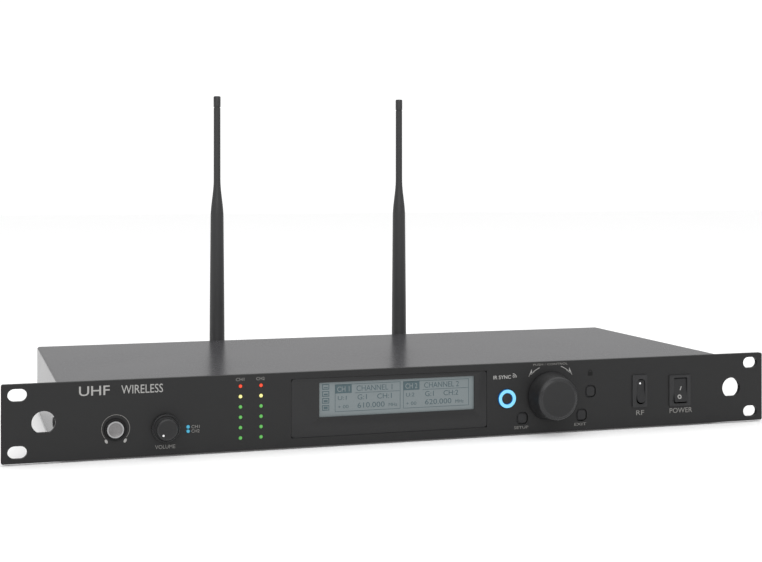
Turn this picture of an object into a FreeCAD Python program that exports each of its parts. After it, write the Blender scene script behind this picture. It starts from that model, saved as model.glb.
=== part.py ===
import FreeCAD, Part
import math
import os
import re
import Sketcher
from FreeCAD import Placement, Rotation, Vector

# A 19-inch, one-unit-high wireless audio unit with two whip antennas on its back.
# Frame: +X to the right seen from the front, +Y towards the back, +Z up, millimetres.
# The origin is the centre of the rack-slot pattern on the panel's rear face, the
# plane that meets the rack rails, so the panel's front face is at -panel_thick.
# "across" is X, "deep" is Y and "up" is Z in the names below.

DIMENSIONS = {
    # rack panel, the 19-inch one-unit standard
    "panel_wide": 482.6, "panel_tall": 44, "panel_thick": 3, "panel_corner": 1.2,
    "slot_pitch_across": 465.1, "slot_pitch_up": 31.75, "slot_long": 10.5, "slot_tall": 7.2,
    "relocation_across": 218.35, "relocation_round": 6.55, "relocation_flat": 5.6,
    # sheet-metal case
    "case_wide": 421.6, "case_deep": 176.5, "case_top": 21.6, "case_base": -19.7,
    "tray_gauge": 1.2, "cover_gauge": 1, "cover_bend": 1.6, "cover_front": 2.2, "sheet_gap": 0.2,
    "lip_tall": 19, "cover_screw_up": -4, "cover_screw_front": 21, "cover_screw_back": 140,
    "flange_side": 14, "flange_edge": 1.5, "panel_screw_across": 203, "panel_screw_up": 12,
    "foot_round": 8, "foot_tall": 3.3, "foot_across": 178, "foot_front": 32, "foot_back": 150,
    # one size of machine screw throughout
    "screw_round": 1.5, "screw_head": 2.9, "screw_head_tall": 1.1, "screw_bite": 2.1,
    # display
    "window_left": -76.5, "window_right": 46.8, "window_low": -16.5, "window_high": 18,
    "window_corner": 2, "window_thick": 1.2, "window_gap": 0.15,
    "lcd_left": -62.5, "lcd_right": 41.8, "lcd_low": -7.2, "lcd_high": 17.2, "lcd_thick": 2.6,
    "backlight_edge": 1.3, "backlight_back": 8.3,
    # control board and what stands on it
    "board_front": 9, "board_thick": 1.6, "board_left": -142, "board_right": 126,
    "board_half_tall": 17,
    "led_round": 1.1, "led_proud": 0.35, "led_gap": 0.08,
    "meter_left": -106.9, "meter_right": -94.7, "meter_top": 15.4, "meter_step": 6.02,
    "status_across": -137.5, "status_up": -6.6, "status_step": 2.5,
    # headphone socket, 6.35 mm
    "phone_across": -178.9, "phone_up": -5.8, "phone_bush": 4.9, "phone_bore": 3.25,
    "phone_body": 14, "phone_deep": 24, "phone_ring": 6.3, "phone_cap": 4.75,
    # volume control
    "volume_across": -150.4, "volume_up": -6.4, "volume_skirt": 8, "volume_face": 6.2,
    "volume_proud": 7.4,
    # control encoder
    "encoder_across": 89.4, "encoder_up": 0.6, "encoder_face": 13.3, "encoder_skirt": 15.2,
    "encoder_proud": 13.2, "knob_gap": 1, "bush_round": 3.5, "bush_proud": 2.2,
    "shaft_round": 3, "shaft_gap": 0.05, "nut_round": 5.2, "nut_thick": 1.5,
    # push buttons
    "sync_across": 60.3, "sync_up": 0.3, "sync_round": 5.75, "sync_core": 3.25, "sync_proud": 0.9,
    "key_wide": 5.8, "key_corner": 1.9, "key_proud": 0.4, "key_gap": 0.9, "key_flange": 1,
    "setup_across": 70.5, "setup_up": -12.3, "exit_across": 110.8, "exit_up": -12.3,
    "lock_across": 117, "lock_up": 2.3,
    "stem_round": 1.5, "stem_end": 4.9, "tact_wide": 6, "tact_front": 5.5,
    # rocker switches
    "rocker_pivot": 0.4, "rocker_tip": 0.5, "rocker_under": -2.6, "rocker_gap": 0.4,
    "rocker_tilt": 7, "bezel_thick": 0.7, "switch_deep": 16, "switch_wall": 0.6,
    "radio_across": 151.6, "radio_up": 0.9, "radio_bezel_wide": 10.4, "radio_bezel_tall": 20.6,
    "radio_rocker_across": 152.35, "radio_rocker_up": 0.5, "radio_rocker_wide": 5.7,
    "radio_mouth_half": 8, "radio_mouth_corner": 2.6,
    "power_across": 180.35, "power_up": 0, "power_bezel_wide": 15.3, "power_bezel_tall": 20,
    "power_rocker_across": 180.7, "power_rocker_up": 0, "power_rocker_wide": 9.2,
    "power_mouth_half": 8.25, "power_mouth_corner": 0.8,
    # rear sockets
    "rear_up": -1, "bayonet_round": 4.85, "bayonet_bore": 4, "bayonet_long": 10.5,
    "bayonet_thread": 6, "bayonet_flange": 7.5,
    "xlr_left": -160, "xlr_right": -125, "xlr_wide": 26, "xlr_tall": 31, "xlr_round": 9.4,
    "xlr_bore": 8.2, "xlr_deep": 14, "xlr_screw_across": 9.5, "xlr_screw_up": 12,
    "jack_left": -40, "jack_right": -15, "jack_bore": 3.2, "jack_bush": 5, "jack_body": 15,
    "jack_deep": 26, "jack_proud": 1.5,
    "inlet_across": 180, "inlet_wide": 11, "inlet_tall": 9, "inlet_deep": 14, "inlet_bore": 2.9,
    "network_across": 125, "network_wide": 15.6, "network_tall": 13.2, "network_deep": 18,
    "hook_across": 160, "hook_out": 9,
    # inside the case
    "spacer_tall": 5, "spacer_round": 3, "main_left": -190, "main_right": 195,
    "main_front": 24, "main_back": 146, "spacer_across": 182, "spacer_front": 34,
    "spacer_back": 138,
    # antennas
    "antenna_left": -83, "antenna_right": 55.7, "hinge_deep": 195.8, "whip_top": 196.3,
    "coupling_round": 7.2, "coupling_gap": 0.1, "fork_half": 5.6, "fork_round": 5.6,
    "tongue_half": 2.1, "tongue_round": 5, "pin_round": 1.5, "pivot_gap": 0.3,
    "whip_collar": 6.3, "whip_base": 5.45, "whip_flare": 4.7, "whip_thin": 2.45,
    "tip_round": 2.55, "tip_long": 7.7, "thin_long": 53, "flare_long": 27,
}

doc = FreeCAD.newDocument("wireless_unit")
sheet = doc.addObject("Spreadsheet::Sheet", "dims")
for row, (alias, value) in enumerate(DIMENSIONS.items(), start=1):
    sheet.set(f"A{row}", alias)
    sheet.set(f"B{row}", str(value))
    sheet.setAlias(f"B{row}", alias)
doc.recompute()

ALIAS = re.compile(r"\b(" + "|".join(sorted(DIMENSIONS, key=len, reverse=True)) + r")\b")
nodes = []


def bind(thing, prop, text):
    """Tie a property to an expression written in the sheet's aliases."""
    thing.setExpression(prop, ALIAS.sub(r"dims.\1", str(text)))


def sub_part(thing, label):
    """Name a finished object and put it on the list of sub-parts."""
    thing.Label = label
    nodes.append(thing)
    return thing


# ---- Part primitives -------------------------------------------------------------------

def block(name, across, deep, up):
    """A box between three (low, high) pairs of expressions."""
    box = doc.addObject("Part::Box", name)
    for size, axis, (low, high) in zip(("Length", "Width", "Height"), "xyz", (across, deep, up)):
        bind(box, size, f"({high}) - ({low})")
        bind(box, f"Placement.Base.{axis}", low)
    return box


TURNS = {"x": Rotation(Vector(0, 1, 0), 90), "y": Rotation(Vector(1, 0, 0), -90),
         "z": Rotation()}


def rod(name, axis, start, length, radius, end_radius=None):
    """A cylinder, or a cone where it has an end radius, from a start point along +axis."""
    kind = "Part::Cylinder" if end_radius is None else "Part::Cone"
    piece = doc.addObject(kind, name)
    piece.Placement = Placement(Vector(), TURNS[axis])
    for direction, text in zip("xyz", start):
        bind(piece, f"Placement.Base.{direction}", text)
    bind(piece, "Height", length)
    if end_radius is None:
        bind(piece, "Radius", radius)
    else:
        bind(piece, "Radius1", radius)
        bind(piece, "Radius2", end_radius)
    return piece


def fuse(name, *parts):
    joined = doc.addObject("Part::MultiFuse", name)
    joined.Shapes = list(parts)
    joined.Refine = True
    return joined


def cut(name, base, *tools):
    removed = tools[0] if len(tools) == 1 else fuse(name + "_tools", *tools)
    result = doc.addObject("Part::Cut", name)
    result.Base = base
    result.Tool = removed
    return result


def overlap(name, base, tool):
    shared = doc.addObject("Part::Common", name)
    shared.Base, shared.Tool = base, tool
    return shared


def group(name, *parts):
    """Separate solids kept in one node."""
    held = doc.addObject("Part::Compound", name)
    held.Links = list(parts)
    return held


# ---- PartDesign bodies -----------------------------------------------------------------

def new_body(name):
    return doc.addObject("PartDesign::Body", name)


def sketch_on(body, name, role, level="0"):
    """A sketch on one of the body's origin planes, moved along that plane's normal axis."""
    sketch = body.newObject("Sketcher::SketchObject", name)
    plane = next(item for item in body.Origin.OriginFeatures if item.Role == role)
    sketch.AttachmentSupport = (plane, [""])
    sketch.MapMode = "FlatFace"
    sign = "-1" if role == "XZ_Plane" else "1"     # the XZ plane faces -Y
    bind(sketch, "AttachmentOffset.Base.z", f"{sign} * ({level})")
    return sketch


def measure(sketch, kind, geometry, point, text):
    """Fix one coordinate of a point by an expression."""
    row = sketch.addConstraint(Sketcher.Constraint(kind, -1, 1, geometry, point, 1.0))
    bind(sketch, f"Constraints[{row}]", text)


def draw_circle(sketch, across, up, radius):
    ring = sketch.addGeometry(Part.Circle(Vector(), Vector(0, 0, 1), 1), False)
    measure(sketch, "DistanceX", ring, 3, across)
    measure(sketch, "DistanceY", ring, 3, up)
    row = sketch.addConstraint(Sketcher.Constraint("Radius", ring, 1.0))
    bind(sketch, f"Constraints[{row}]", radius)


def worth(text):
    """The present value of an expression, to draw geometry near its final place."""
    return float(sheet.evalExpression(str(text)))


def draw_box(sketch, left, right, low, high):
    """A rectangle whose four sides are each fixed by an expression."""
    x0, x1, y0, y1 = (worth(side) for side in (left, right, low, high))
    corners = [Vector(x0, y0, 0), Vector(x1, y0, 0), Vector(x1, y1, 0), Vector(x0, y1, 0)]
    first = sketch.GeometryCount
    for side in range(4):
        sketch.addGeometry(Part.LineSegment(corners[side], corners[(side + 1) % 4]), False)
    for side in range(4):
        following = first + (side + 1) % 4
        sketch.addConstraint(Sketcher.Constraint("Coincident", first + side, 2, following, 1))
        kind = "Horizontal" if side % 2 == 0 else "Vertical"
        sketch.addConstraint(Sketcher.Constraint(kind, first + side))
    measure(sketch, "DistanceX", first, 1, left)
    measure(sketch, "DistanceX", first, 2, right)
    measure(sketch, "DistanceY", first, 1, low)
    measure(sketch, "DistanceY", first + 2, 1, high)


def draw_slot(sketch, across, up, length, height):
    """A slot with half-round ends, lying along the sketch's first axis."""
    x, y, full, tall = (worth(text) for text in (across, up, length, height))
    reach, radius = (full - tall) / 2, tall / 2
    quarter = math.pi / 2
    first = sketch.GeometryCount
    for side, start in ((1, -quarter), (-1, quarter)):
        centre = Part.Circle(Vector(x + side * reach, y, 0), Vector(0, 0, 1), radius)
        sketch.addGeometry(Part.ArcOfCircle(centre, start, start + 2 * quarter), False)
    for level in (radius, -radius):
        ends = (Vector(x - reach, y + level, 0), Vector(x + reach, y + level, 0))
        sketch.addGeometry(Part.LineSegment(*ends), False)
    right_end, left_end, top, base = range(first, first + 4)
    for arc, point, line, end in ((right_end, 2, top, 2), (left_end, 1, top, 1),
                                  (left_end, 2, base, 1), (right_end, 1, base, 2)):
        sketch.addConstraint(Sketcher.Constraint("Tangent", arc, point, line, end))
    measure(sketch, "DistanceX", right_end, 3, f"{across} + ({length} - {height}) / 2")
    measure(sketch, "DistanceX", left_end, 3, f"{across} - ({length} - {height}) / 2")
    measure(sketch, "DistanceY", right_end, 3, up)
    measure(sketch, "DistanceY", left_end, 3, up)
    sketch.addConstraint(Sketcher.Constraint("Equal", right_end, left_end))
    row = sketch.addConstraint(Sketcher.Constraint("Radius", right_end, radius))
    bind(sketch, f"Constraints[{row}]", f"{height} / 2")


def draw_path(sketch, points):
    """A closed outline of straight runs, each corner fixed by a pair of expressions."""
    spots = [Vector(worth(across), worth(up), 0) for across, up in points]
    first, count = sketch.GeometryCount, len(points)
    for side in range(count):
        sketch.addGeometry(Part.LineSegment(spots[side], spots[(side + 1) % count]), False)
    for side, (across, up) in enumerate(points):
        following = first + (side + 1) % count
        sketch.addConstraint(Sketcher.Constraint("Coincident", first + side, 2, following, 1))
        measure(sketch, "DistanceX", first + side, 1, across)
        measure(sketch, "DistanceY", first + side, 1, up)


def pad(body, sketch, length, backwards=True):
    """Extrude a sketch; from the XZ plane, backwards is towards +Y."""
    feature = body.newObject("PartDesign::Pad", sketch.Name + "_pad")
    feature.Profile = sketch
    feature.Reversed = backwards
    bind(feature, "Length", length)
    return feature


def pocket(body, sketch, length, backwards=False):
    """Cut a sketch into the body; from the XZ plane, the plain direction is towards +Y."""
    feature = body.newObject("PartDesign::Pocket", sketch.Name + "_pocket")
    feature.Profile = sketch
    feature.Reversed = backwards
    bind(feature, "Length", length)
    return feature


def along(axis, edge):
    ends = [vertex.Point for vertex in edge.Vertexes]
    return len(ends) == 2 and abs((ends[1] - ends[0]).normalize().dot(axis)) > 0.999


def round_edges(body, feature, names, radius):
    fillet = body.newObject("PartDesign::Fillet", body.Name + "_fillet")
    fillet.Base = (feature, names)
    bind(fillet, "Radius", radius)


def rounded_block(name, across, deep, up, corner):
    """A box with its four front-to-back edges rounded."""
    body = new_body(name)
    outline = sketch_on(body, name + "_outline", "XZ_Plane", deep[0])
    draw_box(outline, *across, *up)
    solid = pad(body, outline, f"({deep[1]}) - ({deep[0]})")
    doc.recompute()
    edges = [f"Edge{number}" for number, edge in enumerate(solid.Shape.Edges, start=1)
             if along(Vector(0, 1, 0), edge)]
    round_edges(body, solid, edges, corner)
    return body


def about(middle, half):
    """The two expressions a half size either side of a middle."""
    return f"{middle} - ({half})", f"{middle} + ({half})"


def turned(name, profile, across, up):
    """A piece turned on a lathe: points are (radius, place along Y)."""
    body = new_body(name)
    sketch = sketch_on(body, name + "_profile", "XY_Plane", up)
    draw_path(sketch, [(f"{across} + {radius}", place) for radius, place in profile])
    start = Vector(worth(across), 0, 0)
    line = sketch.addGeometry(Part.LineSegment(start, start + Vector(0, 1, 0)), True)
    for end, level in ((1, 0), (2, 1)):
        measure(sketch, "DistanceX", line, end, across)
        measure(sketch, "DistanceY", line, end, level)
    feature = body.newObject("PartDesign::Revolution", name + "_turn")
    feature.Profile = sketch
    feature.ReferenceAxis = (sketch, ["Axis0"])
    feature.Angle = 360
    return body


def screw_in(name, axis, towards, start, reach):
    """A pan-head machine screw. start is where the head's underside sits."""
    sign = 1 if towards > 0 else -1
    index = "xyz".index(axis)
    head = list(start)
    shank = list(start)
    if sign > 0:
        head[index] = f"{start[index]} - screw_head_tall"
    else:
        shank[index] = f"{start[index]} - ({reach})"
    return fuse(name, rod(name + "_head", axis, head, "screw_head_tall", "screw_head"),
                rod(name + "_shank", axis, shank, reach, "screw_round"))


# ---- Rack panel ------------------------------------------------------------------------

FACE = "-panel_thick"
KEYS = (("setup_button", "setup_across", "setup_up"), ("exit_button", "exit_across", "exit_up"),
        ("lock_button", "lock_across", "lock_up"))
METER_ROWS = [f"meter_top - {row} * meter_step" for row in range(6)]
STATUS_ROWS = [f"status_up - {row} * status_step" for row in range(2)]


def make_front_panel():
    body = new_body("front_panel_body")
    outline = sketch_on(body, "panel_outline", "XZ_Plane", FACE)
    draw_box(outline, "-panel_wide / 2", "panel_wide / 2", "-panel_tall / 2", "panel_tall / 2")
    plate = pad(body, outline, "panel_thick")
    doc.recompute()
    corners = [f"Edge{number}" for number, edge in enumerate(plate.Shape.Edges, start=1)
               if along(Vector(0, 1, 0), edge)]
    round_edges(body, plate, corners, "panel_corner")

    slots = sketch_on(body, "rack_slots", "XZ_Plane", FACE)
    for side in (-1, 1):
        for level in (-1, 1):
            draw_slot(slots, f"{side} * slot_pitch_across / 2", f"{level} * slot_pitch_up / 2",
                      "slot_long", "slot_tall")
    pocket(body, slots, "panel_thick")

    holes = sketch_on(body, "control_holes", "XZ_Plane", FACE)
    draw_circle(holes, "phone_across", "phone_up", "phone_bush + 0.2")
    for name in ("volume", "encoder"):
        draw_circle(holes, f"{name}_across", f"{name}_up", "bush_round + 0.1")
    draw_circle(holes, "sync_across", "sync_up", "sync_round + 0.3")
    for across in ("meter_left", "meter_right"):
        for up in METER_ROWS:
            draw_circle(holes, across, up, "led_round + led_gap")
    for up in STATUS_ROWS:
        draw_circle(holes, "status_across", up, "led_round + led_gap")
    pocket(body, holes, "panel_thick")

    windows = sketch_on(body, "square_holes", "XZ_Plane", FACE)
    for name in ("radio", "power"):
        draw_box(windows, *about(f"{name}_across", f"{name}_bezel_wide / 2 - switch_wall"),
                 *about(f"{name}_up", f"{name}_bezel_tall / 2 - switch_wall"))
    draw_box(windows, "lcd_left - 0.3", "lcd_right + 0.3", "lcd_low - 0.3", "lcd_high + 0.3")
    pocket(body, windows, "panel_thick")

    recess = sketch_on(body, "window_recess", "XZ_Plane", FACE)
    draw_box(recess, "window_left - window_gap", "window_right + window_gap",
             "window_low - window_gap", "window_high + window_gap")
    pocket(body, recess, "window_thick + 0.1")

    taps = sketch_on(body, "panel_taps", "XZ_Plane", "0")
    for side in (-1, 1):
        for level in (-1, 1):
            draw_circle(taps, f"{side} * panel_screw_across", f"{level} * panel_screw_up",
                        "screw_round")
    pocket(body, taps, "screw_bite + 0.2", backwards=True)

    through = ("-panel_thick - 1", "1")
    openings = []
    for side in (-1, 1):
        across = f"{side} * relocation_across"
        hole = rod(f"relocation_hole_{side}", "y", (across, through[0], "0"),
                   "panel_thick + 2", "relocation_round")
        above = block(f"relocation_flat_{side}", about(across, "relocation_round"), through,
                      ("-relocation_flat", "relocation_round"))
        openings.append(overlap(f"relocation_shape_{side}", hole, above))
    for label, across, up in KEYS:
        half = "key_wide / 2 + key_gap"
        openings.append(rounded_block(f"{label}_opening", about(across, half), through,
                                      about(up, half), "key_corner + key_gap"))
    sub_part(cut("front_panel", body, *openings), "front_panel")


# ---- Sheet-metal case ------------------------------------------------------------------

def make_tray():
    inner = "(case_wide / 2 - cover_gauge - sheet_gap)"
    top = "(case_top - cover_gauge - sheet_gap)"
    floor = block("tray_floor", (f"-{inner}", inner), ("0.05", "case_deep"),
                  ("case_base", "case_base + tray_gauge"))
    back = block("tray_back", (f"-{inner}", inner), ("case_deep - tray_gauge", "case_deep"),
                 ("case_base", top))
    flange = block("tray_flange", (f"-{inner}", inner), ("0.05", "tray_gauge + 0.05"),
                   ("case_base", top))
    lips = []
    for side in (-1, 1):
        edges = sorted((f"{side} * {inner}", f"{side} * ({inner} - tray_gauge)"), key=worth)
        lips.append(block(f"tray_lip_{side}", edges, ("0.05", "case_deep"),
                          ("case_base", "case_base + lip_tall")))
    shell = fuse("tray_shell", floor, back, flange, *lips)

    openings = [block("flange_opening", (f"-{inner} + flange_side", f"{inner} - flange_side"),
                      ("-1", "tray_gauge + 1"),
                      ("case_base + flange_edge", f"{top} - flange_edge"))]
    for side in (-1, 1):
        for level in (-1, 1):
            start = (f"{side} * panel_screw_across", "-1", f"{level} * panel_screw_up")
            openings.append(rod(f"flange_hole_{side}_{level}", "y", start, "tray_gauge + 2",
                                "screw_round + 0.2"))
        for place in ("cover_screw_front", "cover_screw_back"):
            start = (f"{side} * {inner} - 3", place, "cover_screw_up")
            openings.append(rod(f"lip_hole_{side}_{place}", "x", start, "6", "screw_round"))
    through = ("case_deep - tray_gauge - 1", "tray_gauge + 2")
    for name in ("antenna_left", "antenna_right"):
        openings.append(rod(f"tray_hole_{name}", "y", (name, through[0], "rear_up"), through[1],
                            "bayonet_thread + 0.1"))
    for name in ("jack_left", "jack_right"):
        openings.append(rod(f"tray_hole_{name}", "y", (name, through[0], "rear_up"), through[1],
                            "jack_bush + 0.1"))
    for name in ("xlr_left", "xlr_right"):
        openings.append(rod(f"tray_hole_{name}", "y", (name, through[0], "rear_up"), through[1],
                            "xlr_round + 0.2"))
        for side in (-1, 1):
            start = (f"{name} + {side} * xlr_screw_across", through[0],
                     f"rear_up + {side} * xlr_screw_up")
            openings.append(rod(f"tray_screw_{name}_{side}", "y", start, through[1],
                                "screw_round"))
    for name in ("inlet", "network"):
        openings.append(block(f"tray_opening_{name}",
                              (f"{name}_across - {name}_wide / 2 - 0.1",
                               f"{name}_across + {name}_wide / 2 + 0.1"),
                              ("case_deep - tray_gauge - 1", "case_deep + 1"),
                              (f"rear_up - {name}_tall / 2 - 0.1",
                               f"rear_up + {name}_tall / 2 + 0.1")))
    sub_part(cut("chassis_tray", shell, *openings), "chassis_tray")


def make_cover():
    """Top and two sides folded from one sheet."""
    body = new_body("top_cover_body")
    outline = sketch_on(body, "cover_outline", "XZ_Plane", "cover_front")
    draw_box(outline, "-case_wide / 2", "case_wide / 2", "case_base", "case_top")
    shell = pad(body, outline, "case_deep - cover_front")
    doc.recompute()
    top = worth("case_top")
    bends = [f"Edge{number}" for number, edge in enumerate(shell.Shape.Edges, start=1)
             if along(Vector(0, 1, 0), edge)
             and all(abs(vertex.Point.z - top) < 0.01 for vertex in edge.Vertexes)]
    round_edges(body, shell, bends, "cover_bend")
    inside = sketch_on(body, "cover_inside", "XZ_Plane", "cover_front")
    draw_box(inside, "-case_wide / 2 + cover_gauge", "case_wide / 2 - cover_gauge",
             "case_base - 1", "case_top - cover_gauge")
    pocket(body, inside, "case_deep")
    holes = [rod(f"cover_hole_{side}_{place}", "x",
                 (f"{side} * case_wide / 2 - 3", place, "cover_screw_up"), "6",
                 "screw_round + 0.2")
             for side in (-1, 1) for place in ("cover_screw_front", "cover_screw_back")]
    sub_part(cut("top_cover", body, *holes), "top_cover")


def make_case_screws():
    covers = [screw_in(f"cover_screw_{side}_{place}", "x", -side,
                       [f"{side} * case_wide / 2", place, "cover_screw_up"],
                       "cover_gauge + sheet_gap + tray_gauge + 1")
              for side in (-1, 1) for place in ("cover_screw_front", "cover_screw_back")]
    sub_part(group("cover_screws", *covers), "cover_screws")

    inside = [screw_in(f"panel_screw_{side}_{level}", "y", -1,
                       [f"{side} * panel_screw_across", "tray_gauge + 0.05",
                        f"{level} * panel_screw_up"], "tray_gauge + 0.05 + screw_bite")
              for side in (-1, 1) for level in (-1, 1)]
    board_top = "case_base + tray_gauge + spacer_tall + board_thick"
    inside += [screw_in(f"board_screw_{side}_{place}", "z", -1,
                        [f"{side} * spacer_across", place, board_top], "board_thick + 3")
               for side in (-1, 0, 1) for place in ("spacer_front", "spacer_back")]
    sub_part(group("machine_screws", *inside), "machine_screws")


def make_feet():
    feet = []
    for side in (-1, 1):
        for place in ("foot_front", "foot_back"):
            feet.append(rod(f"foot_{side}_{place}", "z",
                            (f"{side} * foot_across", place, "case_base - foot_tall"),
                            "foot_tall", "foot_round - 0.6", "foot_round"))
    sub_part(group("rubber_feet", *feet), "rubber_feet")


# ---- Display and lights ----------------------------------------------------------------

def make_display():
    window = rounded_block("window_sheet", ("window_left", "window_right"),
                           ("-panel_thick + 0.1", "-panel_thick + 0.1 + window_thick"),
                           ("window_low", "window_high"), "window_corner")
    sub_part(window, "display_window")

    front = "-panel_thick + window_thick + 0.15"
    sub_part(block("lcd_glass", ("lcd_left", "lcd_right"), (front, f"{front} + lcd_thick"),
                   ("lcd_low", "lcd_high")), "lcd_glass")
    sub_part(block("lcd_backlight",
                   ("lcd_left - backlight_edge", "lcd_right + backlight_edge"),
                   (f"{front} + lcd_thick + 0.05", "backlight_back"),
                   ("lcd_low - backlight_edge", "lcd_high + backlight_edge")), "lcd_backlight")


def make_light(name, across, up):
    """A light pipe from the board to a dome just proud of the panel."""
    barrel = rod(name + "_barrel", "y", (across, FACE, up), "panel_thick + board_front",
                 "led_round")
    dome = rod(name + "_dome", "y", (across, f"{FACE} - led_proud", up), "led_proud",
               "led_round * 0.55", "led_round")
    return fuse(name, barrel, dome)


def make_lights():
    colours = (("red", METER_ROWS[:1]), ("yellow", METER_ROWS[1:2]), ("green", METER_ROWS[2:]))
    for colour, rows in colours:
        lights = [make_light(f"meter_{colour}_{side}_{row}", side, up)
                  for side in ("meter_left", "meter_right") for row, up in enumerate(rows)]
        sub_part(group(f"meter_leds_{colour}", *lights), f"meter_leds_{colour}")
    lights = [make_light(f"status_{row}", "status_across", up)
              for row, up in enumerate(STATUS_ROWS)]
    sub_part(group("channel_leds_blue", *lights), "channel_leds_blue")


def make_control_board():
    board = block("control_board_blank", ("board_left", "board_right"),
                  ("board_front", "board_front + board_thick"),
                  ("-board_half_tall", "board_half_tall"))
    slot = rod("encoder_slot", "y", ("encoder_across", "board_front - 1", "encoder_up"),
               "board_thick + 2", "shaft_round + 1")
    sub_part(cut("control_board", board, slot), "control_board")


# ---- Front controls --------------------------------------------------------------------

def make_headphone_socket():
    place = ("phone_across", "0", "phone_up")
    half = "phone_body / 2"
    housing = block("phone_housing", (f"phone_across - {half}", f"phone_across + {half}"),
                    ("0.1", "phone_deep"), (f"phone_up - {half}", f"phone_up + {half}"))
    bush = rod("phone_bushing", "y", (place[0], f"{FACE} - 0.6", place[2]),
               "panel_thick + 1.6", "phone_bush")
    bore = rod("phone_hole", "y", (place[0], f"{FACE} - 2", place[2]), "panel_thick + 20",
               "phone_bore")
    sub_part(cut("headphone_socket", fuse("phone_solid", housing, bush), bore),
             "headphone_socket")
    ring = rod("phone_ring_blank", "y", (place[0], f"{FACE} - 1.5", place[2]), "1.5",
               "phone_ring")
    inner = rod("phone_ring_hole", "y", (place[0], f"{FACE} - 2", place[2]), "3",
                "phone_bush")
    sub_part(cut("headphone_ring", ring, inner), "headphone_ring")
    disc = rod("phone_cap_disc", "y", (place[0], f"{FACE} - 2", place[2]), "1.3", "phone_cap")
    stem = rod("phone_cap_stem", "y", (place[0], f"{FACE} - 1", place[2]), "10",
               "phone_bore - shaft_gap")
    dish = rod("phone_cap_dish", "y", (place[0], f"{FACE} - 2.5", place[2]), "0.8",
               "phone_cap - 0.9")
    sub_part(cut("headphone_cap", fuse("phone_cap_solid", disc, stem), dish), "headphone_cap")


def make_nuts():
    nuts = []
    for name in ("volume", "encoder"):
        across, up = f"{name}_across", f"{name}_up"
        ring = rod(f"{name}_nut_blank", "y", (across, f"{FACE} - nut_thick", up), "nut_thick",
                   "nut_round")
        hole = rod(f"{name}_nut_hole", "y", (across, f"{FACE} - 3", up), "5", "bush_round")
        nuts.append(cut(f"{name}_nut", ring, hole))
    sub_part(group("bushing_nuts", *nuts), "bushing_nuts")


def bushed_body(name, across, up, wide, tall, back, bore):
    """A panel-mounted control: a case behind the panel and a bushing through it."""
    case = block(f"{name}_case", (f"{across} - {wide} / 2", f"{across} + {wide} / 2"),
                 ("0.1", back), (f"{up} - {tall} / 2", f"{up} + {tall} / 2"))
    bush = rod(f"{name}_bush", "y", (across, f"{FACE} - bush_proud", up),
               "panel_thick + bush_proud + 1", "bush_round")
    hole = rod(f"{name}_bore", "y", (across, f"{FACE} - 4", up), f"panel_thick + {back} + 6",
               bore)
    return cut(name, fuse(f"{name}_solid", case, bush), hole)


def make_knob(label, across, up, face, skirt, proud, gap):
    """A hollow-backed knob with a flared skirt and a bevelled front edge."""
    rear = f"{FACE} - {gap}"
    front = f"{FACE} - {proud}"
    inner = "(nut_round + 0.6)"
    profile = [("shaft_round", front), (f"{face} - 1.4", front), (face, f"{front} + 1.2"),
               (f"{face} + 0.3", f"{rear} - 1.6"), (skirt, f"{rear} - 1"), (skirt, rear),
               (inner, rear), (inner, f"{rear} - 2.2"), ("shaft_round", f"{rear} - 2.2")]
    closed = turned(label + "_body", profile, across, up)
    cap = rod(label + "_cap", "y", (across, front, up), "1.5", "shaft_round")
    return sub_part(fuse(label, closed, cap), label)


def make_volume():
    sub_part(bushed_body("volume_pot", "volume_across", "volume_up", 9.6, 11, "8.6",
                         "shaft_round + shaft_gap"), "volume_pot")
    sub_part(rod("volume_shaft", "y",
                 ("volume_across", f"{FACE} - volume_proud + 1.5", "volume_up"),
                 "panel_thick + volume_proud + 4", "shaft_round"), "volume_shaft")
    make_knob("volume_knob", "volume_across", "volume_up", "volume_face", "volume_skirt",
              "volume_proud", "0.4")


def make_encoder():
    """The rotor turns in the body; the shaft turns with it and slides through to press."""
    across, up = "encoder_across", "encoder_up"
    body = bushed_body("encoder_shell", across, up, 12.6, 13.4, "board_front",
                       "shaft_round + shaft_gap")
    chamber = rod("encoder_chamber", "y", (across, "1.5", up), "6.4", "shaft_round + 2.3")
    sub_part(cut("encoder_body", body, chamber), "encoder_body")
    rotor = rod("rotor_blank", "y", (across, "1.8", up), "5.8", "shaft_round + 2")
    hole = rod("rotor_hole", "y", (across, "0", up), "9", "shaft_round + shaft_gap")
    sub_part(cut("encoder_rotor", rotor, hole), "encoder_rotor")
    sub_part(rod("encoder_shaft", "y", (across, f"{FACE} - encoder_proud + 1.5", up),
                 "panel_thick + encoder_proud + 6.3", "shaft_round"), "encoder_shaft")
    make_knob("control_knob", across, up, "encoder_face", "encoder_skirt", "encoder_proud",
              "knob_gap")


def make_sync_button():
    place = ("sync_across", "sync_up")
    stem = rod("sync_stem", "y", (place[0], "1", place[1]), "stem_end - 1", "stem_round")
    core = rod("sync_core_rod", "y", (place[0], f"{FACE} - sync_proud + 0.5", place[1]),
               "panel_thick + sync_proud + 0.3", "sync_core")
    flange = rod("sync_flange", "y", (place[0], "0.6", place[1]), "key_flange",
                 "sync_round + 1")
    sub_part(fuse("sync_button", stem, core, flange), "sync_button")
    ring = rod("sync_ring_blank", "y", (place[0], f"{FACE} - sync_proud", place[1]),
               "panel_thick + sync_proud + 0.6", "sync_round")
    hole = rod("sync_ring_hole", "y", (place[0], f"{FACE} - 4", place[1]), "8", "sync_core")
    sub_part(cut("sync_light_ring", ring, hole), "sync_light_ring")


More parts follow.
